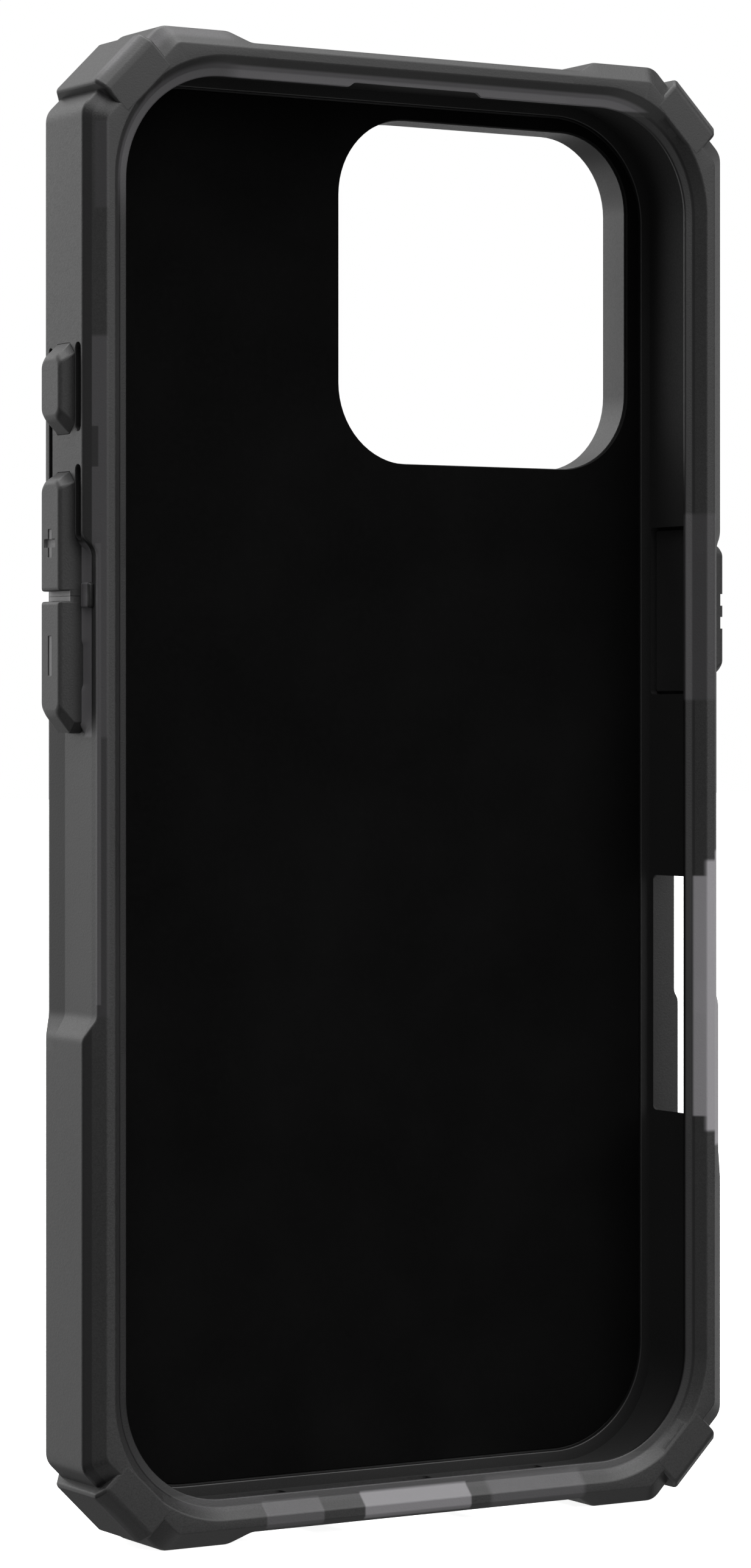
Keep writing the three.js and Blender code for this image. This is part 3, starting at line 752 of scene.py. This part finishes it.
def cove_block():
    """A low rounded block across the cove, level with the notch between the volume pads."""
    floor_x = SIDE_X - RECESS
    outline = span_outline(BLOCK_Y, BLOCK_Z, BLOCK_CORNER)
    obj = loft("cove_block", [at_side(outline, -x) for x in (floor_x - COVE_ROOT, floor_x + BLOCK_RISE)])
    bevel(obj, BLOCK_ROUND, 3, 50)
    return obj


def relief_cutter():
    """The lip steps back over the earpiece, with a smooth run-out at each end."""
    wide = RELIEF_HALF + RELIEF_RUNOUT
    end = wide + 0.4
    below, edge, top = OPEN_Z - 1.5, OPEN_Z - 0.02, OPEN_Z + RELIEF_DEPTH
    outline = rounded(
        [
            (-end, below, 0),
            (end, below, 0),
            (end, edge, 0),
            (wide, edge, RELIEF_ROUND),
            (RELIEF_HALF, top, RELIEF_ROUND),
            (-RELIEF_HALF, top, RELIEF_ROUND),
            (-wide, edge, RELIEF_ROUND),
            (-end, edge, 0),
        ]
    )
    rings = [at_depth(outline, y) for y in (FRONT_Y - 1, GLASS_Y + 0.01)]
    return loft("relief", rings)


BUTTON_SPANS = {name: box_mm(name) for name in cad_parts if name.endswith("_button")}
VOLUME_SPLIT = (BUTTON_SPANS["volume_down_button"][1][2] + BUTTON_SPANS["volume_up_button"][0][2]) / 2


def span_z(name):
    """Where a pad's base lies along the side; its flange, or the foot of a volume pad, reaches further."""
    low, high = BUTTON_SPANS[name]
    below = NOTCH_FOOT if name == "volume_up_button" else FLANGE_OUT
    above = NOTCH_FOOT if name == "volume_down_button" else FLANGE_OUT
    return low[2] + below, high[2] - above


def core_frame(materials):
    """The bumper: the swept wall with its straps and cove, opened for the buttons, slots and ports."""
    obj = swept_wall()
    straps = [strap(x, z) for x in (-1, 1) for z in (-1, 1)]
    combine(obj, "UNION", straps + [cove(), cove_block()])
    cutters = port_cutters() + [control_cutter(), relief_cutter()] + slot_cutters()
    cutters += pad_cutters(-1, *span_z("action_button"))
    cutters += pad_cutters(-1, span_z("volume_down_button")[0], span_z("volume_up_button")[1])
    cutters += pad_cutters(1, *span_z("power_button"))
    combine(obj, "DIFFERENCE", cutters)
    return finish_piece(obj, "case", ["core_frame"], materials)


# ---------------------------------------------------------------- buttons


def pad_outline(half, low, high, cuts, radius, inset=0):
    """A pad's outline (y, z) with cut and rounded corners, moved inwards by inset."""
    low_cut, high_cut = (max(cut - CUT_SHRINK * inset, LEAST_CUT) for cut in cuts)
    front, rear = BUTTON_Y - half + inset, BUTTON_Y + half - inset
    low, high = low + inset, high - inset
    points = [
        (front + low_cut, low),
        (rear - low_cut, low),
        (rear, low + low_cut),
        (rear, high - high_cut),
        (rear - high_cut, high),
        (front + high_cut, high),
        (front, high - high_cut),
        (front, low + low_cut),
    ]
    return rounded([(y, z, radius) for y, z in points], 4)


def pad_body(name, side, low, high, slopes, crown_x):
    """A pad with straight sides through the wall, a sloping crown and a rounded crown edge."""
    base_cuts = [BASE_CUT if slope > 0 else SQUARE_CUT for slope in slopes]
    crown_cuts = [CROWN_CUT if slope > 0 else SQUARE_CUT for slope in slopes]
    crown_span = (PAD_CROWN_HALF, low + slopes[0], high - slopes[1], crown_cuts, CROWN_ROUND)
    base = pad_outline(PAD_BASE_HALF, low, high, base_cuts, BASE_ROUND)
    rings = [at_side(base, side * x) for x in (PAD_ROOT, SIDE_X)]
    crown = at_side(pad_outline(*crown_span), side * crown_x)
    flat = at_side(pad_outline(*crown_span, PAD_FILLET), side * crown_x)
    slope = crown + (rings[1] - crown) * PAD_FILLET / (crown_x - SIDE_X)
    rings.extend(bezier(slope, crown, flat, 7))
    return loft(name + "_pad", rings)


def foot(side, low, high):
    """The floor of the notch between the volume pads, carried by one of them."""
    wide = PAD_BASE_HALF - 0.01
    narrow = wide - FOOT_TAPER
    rows = ((PAD_ROOT, wide), (SIDE_X, wide), (SIDE_X + NOTCH_RISE, narrow))
    rings = [at_side(span_outline(around(BUTTON_Y, half), (low, high), 0.02), side * x) for x, half in rows]
    return loft("foot", rings)


def button(name, side, slopes, marks, materials):
    """One button: its crowned pad, and the flange that holds it in the wall. The second material is for
    its marks, the third for the sides of the notch and the fourth for the notch's floor."""
    box_low, box_high = BUTTON_SPANS[name]
    low, high = span_z(name)
    crown_x = max(abs(box_low[0]), abs(box_high[0]))
    obj = pad_body(name, side, low, high, slopes, crown_x)
    outline = span_outline(around(BUTTON_Y, FLANGE_HALF), (box_low[2], box_high[2]), FLANGE_CORNER)
    flange = loft("flange", [at_side(outline, side * x) for x in (FLANGE_X - FLANGE_DEPTH, FLANGE_X)])
    bevel(flange, FLANGE_ROUND, 2)
    extras = [flange]
    if slopes[0] == 0:
        extras.append(foot(side, VOLUME_SPLIT + HAIRLINE, low + 1))
    if slopes[1] == 0:
        extras.append(foot(side, high - 1, VOLUME_SPLIT - HAIRLINE))
    combine(obj, "UNION", extras)
    if marks:
        combine(obj, "DIFFERENCE", [mark(side, crown_x, *spans) for spans in marks])
    for span_y, span_z_mark, depth in marks:
        paint(obj, 1, side, (crown_x - depth - 0.02, crown_x - MARK_LIP), span_y, span_z_mark)
    notch_x = SIDE_X + NOTCH_RISE
    across = around(BUTTON_Y, PAD_BASE_HALF + 0.1)
    notch_z = around(VOLUME_SPLIT, NOTCH_FOOT + 0.3)
    paint(obj, 2, side, (POCKET_X, notch_x - 0.01), across, notch_z)
    paint(obj, 3, side, around(notch_x, 0.01), across, notch_z)
    return finish_piece(obj, name, [name], materials)


def paint(obj, index, side, span_x, span_y, span_z_face):
    """Gives the faces whose middles lie inside three spans another of the piece's materials."""
    for face in obj.data.polygons:
        x, y, z = face.center
        inside = span_x[0] < side * x < span_x[1] and span_y[0] < y < span_y[1]
        if inside and span_z_face[0] < z < span_z_face[1]:
            face.material_index = index


def mark(side, crown_x, span_y, span_z_mark, depth):
    """A cutter for one engraved bar in a crown."""
    rows = flare(crown_x - depth, crown_x, MARK_LIP)
    rings = [at_side(span_outline(span_y, span_z_mark, MARK_ROUND, grow, 2), side * x) for x, grow in rows]
    return loft("mark", rings)


def buttons(pad, pale, core, floor):
    """The four buttons, with the side each is on and the marks in its crown."""
    stroke = around(BUTTON_Y, MARK_HALF)
    plus = [
        (around(BUTTON_Y, PLUS_BAR[0]), around(PLUS_Z, PLUS_BAR[1]), PLUS_DEEP),
        (stroke, around(PLUS_Z, PLUS_LENGTH), MARK_DEPTH),
    ]
    minus = [(stroke, around(MINUS_Z, MINUS_LENGTH), MARK_DEPTH)]
    across = around(BUTTON_Y, PAD_BASE_HALF + 1)
    grooves = [(across, around(z, GROOVE_HALF), GROOVE_DEPTH) for z in GROOVE_Z]
    button("action_button", -1, ACTION_SLOPES, [], [pad])
    button("volume_up_button", -1, UP_SLOPES, plus, [pad, pale, core, floor])
    button("volume_down_button", -1, DOWN_SLOPES, minus, [pad, pale, core, floor])
    button("power_button", 1, POWER_SLOPES, grooves, [pad, pad])


# ---------------------------------------------------------------- back stack


def shell_outline(grow):
    half_x, half_z = SHELL_HIGH[0] + grow, SHELL_HIGH[2] + grow
    return octagon(half_x, half_z, half_x + half_z - SHELL_CUT - grow, SLANT_ROUND)


def window_outline(grow):
    low, high = GUARD_LOW, GUARD_HIGH
    middle = ((low[0] + high[0]) / 2, (low[2] + high[2]) / 2)
    half = WINDOW_HALF + grow
    return rectangle(half, half, WINDOW_CORNER + grow, middle, 16)


def circle(radius):
    angles = np.arange(CIRCLE_STEPS) * 2 * math.pi / CIRCLE_STEPS
    return np.column_stack([radius * np.cos(angles), radius * np.sin(angles)])


def edged(low, high, round_low, round_high):
    """Depths and growths of a plate between two depths with rounded edges, four rows for each edge."""
    angles = np.radians((0, 30, 60, 90))
    lower = [(low + round_low * (1 - math.cos(a)), -round_low * (1 - math.sin(a))) for a in angles]
    upper = [(high - round_high * (1 - math.sin(a)), -round_high * (1 - math.cos(a))) for a in angles]
    return lower + upper


def plate(name, outline, rows):
    """A body through rows of depth and growth of an outline."""
    return loft(name, [at_depth(outline(grow), y) for y, grow in rows])


def rib(corner):
    """A raised strip from the magnet disc to one corner of the shell."""
    length = math.hypot(*corner)
    along = np.array(corner) / length
    aside = np.array((along[1], -along[0])) * RIB_WIDTH / 2
    start = along * (DISC_RADIUS - 2)
    end = np.array(corner)
    outline = np.array([start + aside, end + aside, end - aside, start - aside])
    obj = loft("rib", [at_depth(outline, y) for y in (SHELL_LOW[1] + SHELL_INSET, SHELL_HIGH[1])])
    bevel(obj, RIB_ROUND, 4)
    return obj


def magnet_pockets(front, rear):
    """Cutters for the ring of magnets and the straight one below it."""
    straight = [(front - CUT_BEFORE, 0), (MAGNET_POCKET_Y, 0)]
    ring = plate("ring", lambda grow: circle(MAGNET_OUTER + grow), straight)
    core = plate("core", lambda grow: circle(MAGNET_INNER + grow), [(front - 2, 0), (rear, 0)])
    combine(ring, "DIFFERENCE", [core])
    bar = plate("bar", lambda grow: rectangle(*BAR_HALF, 1, (0, BAR_Z)), straight)
    return [ring, bar]


def shell_border(front, rear, back):
    """The raised rim round the shell, which leans outwards on its inner side."""
    rows = [(front + SHELL_INSET, -0.1)] + edged(rear - BORDER_RISE, back, 0.1, BORDER_ROUND)[1:]
    border = plate("border", shell_outline, rows)
    opening = [
        (front - CUT_BEFORE, -BORDER_WIDTH),
        (rear + 0.1, -BORDER_WIDTH),
        (back + 1, BORDER_LEAN - BORDER_WIDTH),
    ]
    combine(border, "DIFFERENCE", [plate("inside", shell_outline, opening)])
    return border


def back_shell(material):
    """The hard back: a plate with a raised border, ribs and disc, pocketed for the magnets."""
    front, back = SHELL_LOW[1], SHELL_HIGH[1]
    rear = back - RIB_RISE
    obj = plate("back_shell_body", shell_outline, edged(front, rear, 0.15, 0.1))
    disc_rows = edged(front + SHELL_INSET, rear + DISC_RISE, 0.1, 0.15)
    disc = plate("disc", lambda grow: circle(DISC_RADIUS + grow), disc_rows)
    corner_x = SHELL_HIGH[0] - 2 * BORDER_WIDTH
    corner_z = SHELL_HIGH[2] - 2 * BORDER_WIDTH
    ribs = [rib((x * corner_x, z * corner_z)) for x, z in ((-1, 1), (-1, -1), (1, -1))]
    combine(obj, "UNION", [shell_border(front, rear, back), disc] + ribs)
    hole_rows = [(y, GUARD_SKIRT + FIT) for y in (front - CUT_BEFORE, rear + 1)]
    seat_rows = [(y, GUARD_WALL + FIT) for y in (rear, back + 1)]
    cutters = magnet_pockets(front, rear)
    cutters += [plate("hole", window_outline, hole_rows), plate("seat", window_outline, seat_rows)]
    combine(obj, "DIFFERENCE", cutters)
    return finish_piece(obj, "case", ["back_shell"], [material])


def camera_guard(material):
    """The raised collar round the camera window, with a skirt through the shell."""
    front, rear = GUARD_LOW[1], GUARD_HIGH[1]
    seat = SHELL_HIGH[1] - RIB_RISE + FIT
    rows = [(seat, GUARD_WALL - 0.1), (seat + 0.1, GUARD_WALL)]
    rows += [(y, GUARD_WALL + grow) for y, grow in edged(seat, rear, 0.1, GUARD_ROUND)[4:]]
    obj = plate("camera_guard_body", window_outline, rows)
    skirt_rows = [(front, GUARD_SKIRT - 0.1), (front + 0.1, GUARD_SKIRT), (seat + 0.5, GUARD_SKIRT)]
    combine(obj, "UNION", [plate("skirt", window_outline, skirt_rows)])
    chamfer = [(rear - GUARD_CHAMFER, 0), (rear - 0.25, 0.12), (rear, 0.5), (rear + 1, 2)]
    window = [(front - CUT_BEFORE, 0)] + chamfer
    combine(obj, "DIFFERENCE", [plate("window", window_outline, window)])
    return finish_piece(obj, "case", ["camera_guard"], [material])


def inner_liner(material):
    """The thin soft sheet that the phone's back rests on."""
    half_x, half_z = LINER_HIGH[0], LINER_HIGH[2]

    def outline(grow):
        return rectangle(half_x + grow, half_z + grow, OPEN_ROUND - FIT + grow, steps=16)

    obj = plate("inner_liner_body", outline, edged(LINER_LOW[1], LINER_HIGH[1], 0.15, 0.05))
    window = [(LINER_LOW[1] - CUT_BEFORE, FIT), (LINER_HIGH[1] + 1, FIT)]
    combine(obj, "DIFFERENCE", [plate("window", window_outline, window)])
    return finish_piece(obj, "case", ["inner_liner"], [material])


# ---------------------------------------------------------------- materials


class Nodes:
    """A short way to write a material's node tree."""

    def __init__(self, name):
        self.material = bpy.data.materials.new(name)
        self.material.use_nodes = True
        self.tree = self.material.node_tree
        self.tree.nodes.clear()
        self.output = self.tree.nodes.new("ShaderNodeOutputMaterial")

    def add(self, kind, **settings):
        """A node, with each setting's value set on or linked to the input it is named after."""
        node = self.tree.nodes.new("ShaderNode" + kind)
        for name, value in settings.items():
            self.set(node.inputs[name.replace("_", " ")], value)
        return node

    def set(self, socket, value):
        if isinstance(value, bpy.types.NodeSocket):
            self.tree.links.new(value, socket)
        elif isinstance(value, bpy.types.Node):
            self.tree.links.new(value.outputs[0], socket)
        else:
            socket.default_value = value

    def math(self, operation, a, b):
        node = self.tree.nodes.new("ShaderNodeMath")
        node.operation = operation
        self.set(node.inputs[0], a)
        self.set(node.inputs[1], b)
        return node

    def noise(self, scale, detail, roughness):
        """Noise over the object's own coordinates, in features per metre."""
        coordinates = self.tree.nodes.new("ShaderNodeTexCoord")
        node = self.tree.nodes.new("ShaderNodeTexNoise")
        node.inputs["Scale"].default_value = scale
        node.inputs["Detail"].default_value = detail
        node.inputs["Roughness"].default_value = roughness
        self.tree.links.new(coordinates.outputs["Object"], node.inputs["Vector"])
        return node.outputs["Fac"]

    def grain_and_mottle(self, grain_scale):
        """Fine noise for the grain and broad noise for the colour variation."""
        return self.noise(grain_scale, 2, 0.6), self.noise(MOTTLE_SCALE, 3, 0.55)

    def remap(self, value, low, high):
        """The middle range of a noise value spread over low to high."""
        node = self.tree.nodes.new("ShaderNodeMapRange")
        self.set(node.inputs["Value"], value)
        node.inputs["From Min"].default_value = NOISE_MIDDLE[0]
        node.inputs["From Max"].default_value = NOISE_MIDDLE[1]
        node.inputs["To Min"].default_value = low
        node.inputs["To Max"].default_value = high
        return node.outputs["Result"]

    def blend(self, share, a, b):
        node = self.tree.nodes.new("ShaderNodeMix")
        node.data_type = "RGBA"
        self.set(node.inputs["Factor"], share)
        self.set(node.inputs["A"], a)
        self.set(node.inputs["B"], b)
        return node.outputs["Result"]

    def region(self, low, high, soft):
        """1 inside a box of the object's own space, fading to 0 over a distance per axis, in millimetres."""
        coordinates = self.tree.nodes.new("ShaderNodeTexCoord")
        split = self.tree.nodes.new("ShaderNodeSeparateXYZ")
        self.tree.links.new(coordinates.outputs["Object"], split.inputs[0])
        mask = 1.0
        for axis in range(3):
            for edge, away in ((low[axis], -soft[axis]), (high[axis], soft[axis])):
                if edge is None:
                    continue
                ramp = self.tree.nodes.new("ShaderNodeMapRange")
                ramp.interpolation_type = "SMOOTHSTEP"
                self.tree.links.new(split.outputs[axis], ramp.inputs["Value"])
                start, end = sorted(((edge + away) * MM, edge * MM))
                ramp.inputs["From Min"].default_value = start
                ramp.inputs["From Max"].default_value = end
                ramp.inputs["To Min"].default_value = 0 if away < 0 else 1
                ramp.inputs["To Max"].default_value = 1 if away < 0 else 0
                mask = self.math("MULTIPLY", mask, ramp.outputs["Result"])
        return mask

    def bump(self, height, strength, distance):
        return self.add("Bump", Height=height, Strength=strength, Distance=distance)


def grey(value, tint=(1.0, 0.99, 1.0)):
    return (value * tint[0], value * tint[1], value * tint[2], 1)


# Finishes: features of the grain and the mottle per metre, the range most noise lies in, how far the
# grain moves the roughness, and each bump's strength and height in metres.
GRAIN_SCALE = 5200
MOTTLE_SCALE = 60
NOISE_MIDDLE = (0.3, 0.7)
ROUGHNESS_SPREAD = (-0.05, 0.07)
GRAIN_SHARE = 0.65
SMOKY_ROUGHNESS = 0.41
SMOKY_IOR = 1.46
SMOKY_BUMP = (0.45, 0.00003)
SATIN_BUMP = (0.35, 0.00002)
# The slight violet tint of the patches of painted light and shade.
PAINTED_LIGHT_TINT = (1.0, 0.97, 1.02)


def skin(n, colour, grain, roughness, bump, **settings):
    """The surface of a finish: its roughness and its relief follow the grain."""
    low, high = (roughness + spread for spread in ROUGHNESS_SPREAD)
    rough = n.remap(grain, low, high)
    normal = n.bump(grain, *bump)
    shader = n.add("BsdfPrincipled", Base_Color=colour, Roughness=rough, Normal=normal, **settings)
    n.tree.links.new(shader.outputs[0], n.output.inputs["Surface"])
    return n.material


def smoky_material(name, dark, light, pale=()):
    """Dark smoky plastic with fine grain and speckle. The pale patches (low corner, high corner,
    brightness, softness) paint light and shade into the colour: a painted glow where light shines through
    the thin plastic, painted highlights and painted shade."""
    n = Nodes(name)
    grain, mottle = n.grain_and_mottle(GRAIN_SCALE)
    mottle_part = n.math("MULTIPLY", mottle, 1 - GRAIN_SHARE)
    speckle = n.math("ADD", mottle_part, n.math("MULTIPLY", grain, GRAIN_SHARE))
    colour = n.blend(n.remap(speckle, 0, 1), grey(dark), grey(light))
    # The patches blend painted light and shade into the colour.
    for low, high, value, soft in pale:
        softness = soft if isinstance(soft, tuple) else (soft, soft, soft)
        colour = n.blend(n.region(low, high, softness), colour, grey(value, PAINTED_LIGHT_TINT))
    return skin(n, colour, grain, SMOKY_ROUGHNESS, SMOKY_BUMP, IOR=SMOKY_IOR)


def satin_material(name, dark, light, roughness, grain_scale=GRAIN_SCALE, metallic=0.0, shine=0.5):
    """A plain satin finish with fine grain and a little colour variation."""
    n = Nodes(name)
    grain, mottle = n.grain_and_mottle(grain_scale)
    colour = n.blend(n.remap(mottle, 0, 1), grey(dark), grey(light))
    return skin(n, colour, grain, roughness, SATIN_BUMP, Metallic=metallic, Specular_IOR_Level=shine)


# Painted light and shade on the bumper's chamfer and lip: a painted glow where light shines through the
# thin plastic over the ports, the control opening and the button pockets, painted highlights on the top lip
# and along a ridge, and painted shade on the inner lip and over a rib. Low and high corners in
# millimetres (None has no limit), brightness, and softness for every axis or for each.
PAINTED_LIGHT_PATCHES = (
    ((None, None, 5), (-37.9, -8.45, 46), 0.0515, 0.5),
    ((None, None, -23), (-37.7, -8.45, 5), 0.029, 0.5),
    ((-39.4, None, 32.95), (-38.5, -8.45, 36.95), 0.0165, 0.15),
    ((-38.5, None, 59.5), (-37.7, -8.45, 68), 0.0315, 0.4),
    ((-38.6, -9.5, -22), (-38.2, -9.1, 25), 0.0715, 0.12),
    ((-39.1, -8.1, 5.5), (-38.3, -6.7, 25), 0.1015, 0.4),
    ((None, -8.9, -73), (36, -8.1, 73), 0.0075, 0.1),
    ((-21, -9, 73.7), (28, -8.1, 76), 0.115, (6, 0.3, 0.3)),
    ((-36.2, -8.9, 66), (-24, -8.1, 75.2), 0.0665, (3, 0.6, 9)),
    ((None, -9, -76), (None, -8.1, -73.7), 0.0265, 0.3),
    ((34.9, None, 9.5), (37.9, -8.2, 29.5), 0.0365, 0.5),
    ((35.8, None, -36.5), (36.9, -8.2, -10.3), 0.26, 0.25),
    ((36.9, None, -38), (38.1, -8.2, -8.7), 0.28, 0.5),
    ((38.1, None, -39.6), (39.3, -8.2, -7.6), 0.26, 0.5),
    ((-18.8, None, -77), (-12.2, -8.7, -74.6), 0.0615, 0.3),
    ((-6.9, None, -77), (5.96, -8.7, -74.6), 0.1715, 0.3),
    ((9.05, None, -77), (20.2, -8.7, -74.6), 0.0565, 0.8),
)


# ---------------------------------------------------------------- stage

# The camera stands in front and to the left, level with the case.
CAMERA_PLACE = (-0.257903, -0.430427, 0.0071177)
CAMERA_YAW = -30.9424
LENS = 106.713
SENSOR = 36
SHIFT_Y = -0.0414


def add_camera():
    data = bpy.data.cameras.new("camera")
    data.sensor_fit = "VERTICAL"
    data.sensor_height = SENSOR
    data.lens = LENS
    data.shift_y = SHIFT_Y
    data.clip_start = 0.01
    camera = bpy.data.objects.new("camera", data)
    camera.location = CAMERA_PLACE
    camera.rotation_euler = (math.pi / 2, 0, math.radians(CAMERA_YAW))
    bpy.context.scene.collection.objects.link(camera)
    bpy.context.scene.camera = camera


# The studio's light: the direction and strength of each soft patch, and how many degrees from its
# middle a patch starts to fade and ends.
STUDIO = (
    ((-0.514, 0.858, 0), 0.85),
    ((-0.4, 0.7, 0.6), 1.0),
    ((0.4, -0.7, 0.6), 2.5),
    ((0.4, -0.7, -0.6), 0.4),
    ((0, 0, 1), 3.9),
    ((-0.6, 0, 0.8), 0.4),
    ((0, 0.86, 0.51), 0.4),
    ((0, 0.8, -0.6), 0.18),
    ((0, 0, -1), 0.6),
    ((0.86, 0.51, 0), 0.6),
    ((-0.514, -0.858, 0), 0.34),
    ((-1, 0, 0), 0.22),
)
LOBE_CORE = 15.75
LOBE_EDGE = 45


def add_world():
    """White to the camera; to everything else a soft studio, brightest overhead."""
    world = bpy.data.worlds.new("studio")
    bpy.context.scene.world = world
    world.use_nodes = True
    tree = world.node_tree
    tree.nodes.clear()
    output = tree.nodes.new("ShaderNodeOutputWorld")
    coordinates = tree.nodes.new("ShaderNodeTexCoord")

    def lobe(direction, strength):
        """A soft patch of light towards a direction."""
        dot = tree.nodes.new("ShaderNodeVectorMath")
        dot.operation = "DOT_PRODUCT"
        dot.inputs[1].default_value = Vector(direction).normalized()
        tree.links.new(coordinates.outputs["Generated"], dot.inputs[0])
        ramp = tree.nodes.new("ShaderNodeMapRange")
        ramp.interpolation_type = "SMOOTHSTEP"
        ramp.inputs["From Min"].default_value = math.cos(math.radians(LOBE_EDGE))
        ramp.inputs["From Max"].default_value = math.cos(math.radians(LOBE_CORE))
        ramp.inputs["To Max"].default_value = strength
        tree.links.new(dot.outputs["Value"], ramp.inputs["Value"])
        return ramp.outputs["Result"]

    total = None
    for direction, strength in STUDIO:
        part = lobe(direction, strength)
        if total is None:
            total = part
            continue
        add = tree.nodes.new("ShaderNodeMath")
        tree.links.new(total, add.inputs[0])
        tree.links.new(part, add.inputs[1])
        total = add.outputs[0]
    studio = tree.nodes.new("ShaderNodeBackground")
    studio.inputs["Color"].default_value = (1, 1, 1, 1)
    tree.links.new(total, studio.inputs["Strength"])
    white = tree.nodes.new("ShaderNodeBackground")
    white.inputs["Color"].default_value = (1, 1, 1, 1)
    white.inputs["Strength"].default_value = 1
    path = tree.nodes.new("ShaderNodeLightPath")
    mix = tree.nodes.new("ShaderNodeMixShader")
    tree.links.new(path.outputs["Is Camera Ray"], mix.inputs[0])
    tree.links.new(studio.outputs[0], mix.inputs[1])
    tree.links.new(white.outputs[0], mix.inputs[2])
    tree.links.new(mix.outputs[0], output.inputs["Surface"])


# The floor's half width in metres, and how bright it is.
FLOOR_HALF = 4
FLOOR_PAINT = 0.9
FLOOR_GLOW = 0.9


def add_floor():
    """A pale floor under the case. Only the camera and shadows see it, so it adds no light to the case."""
    half, z = FLOOR_HALF, cad_bounds[0][2]
    mesh = bpy.data.meshes.new("floor")
    corners = [(-half, -half, z), (half, -half, z), (half, half, z), (-half, half, z)]
    mesh.from_pydata(corners, [], [(0, 1, 2, 3)])
    floor = bpy.data.objects.new("floor", mesh)
    bpy.context.scene.collection.objects.link(floor)
    n = Nodes("pale_floor")
    paper = n.add("BsdfDiffuse", Color=(FLOOR_PAINT, FLOOR_PAINT, FLOOR_PAINT, 1))
    glow = n.add("Emission", Color=(1, 1, 1, 1), Strength=FLOOR_GLOW)
    both = n.add("AddShader")
    n.tree.links.new(paper.outputs[0], both.inputs[0])
    n.tree.links.new(glow.outputs[0], both.inputs[1])
    n.tree.links.new(both.outputs[0], n.output.inputs["Surface"])
    mesh.materials.append(n.material)
    floor.visible_diffuse = False
    floor.visible_glossy = False
    floor.visible_transmission = False


def cad_material(nodes, material):
    """Gives CAD nodes that stay as they are a finished material."""
    for name in nodes:
        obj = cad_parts[name]
        obj.data.materials.clear()
        obj.data.materials.append(material)


def main():
    """Each finish has a name, its darkest and lightest grey and, where it isn't smoky, a roughness."""
    # The bumper's colour carries the patches of painted light and shade.
    bumper = smoky_material("smoky_bumper", 0.0125, 0.0265, PAINTED_LIGHT_PATCHES)
    # Painted shade: the cavity faces, of the same plastic, are made near-black.
    inside = satin_material("bumper_inside_painted_shade", 0.004, 0.006, 0.8)
    pad = smoky_material("smoky_pad", 0.0164, 0.0337)
    pale = satin_material("pale_marks", 0.19, 0.21, 0.5)
    core = satin_material("pad_core", 0.02, 0.026, 0.5)
    notch = satin_material("pale_notch", 0.3, 0.33, 0.5)
    shell = satin_material("shell", 0.03, 0.04, 0.45)
    guard = satin_material("guard", 0.02, 0.028, 0.4)
    liner = satin_material("liner", 0.0015, 0.003, 0.95, 1500, shine=0.06)
    magnet = satin_material("magnet", 0.55, 0.62, 0.3, metallic=1.0)
    steel = satin_material("backing_steel", 0.3, 0.36, 0.38, 2600, metallic=1.0)
    core_frame([bumper, inside])
    buttons(pad, pale, core, notch)
    back_shell(shell)
    camera_guard(guard)
    inner_liner(liner)
    magnets = [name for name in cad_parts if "magnet" in name and name != "magnet_backing_ring"]
    cad_material(magnets, magnet)
    cad_material(["magnet_backing_ring"], steel)
    add_floor()
    add_world()
    add_camera()
    bpy.context.scene.view_settings.view_transform = "Standard"


main()
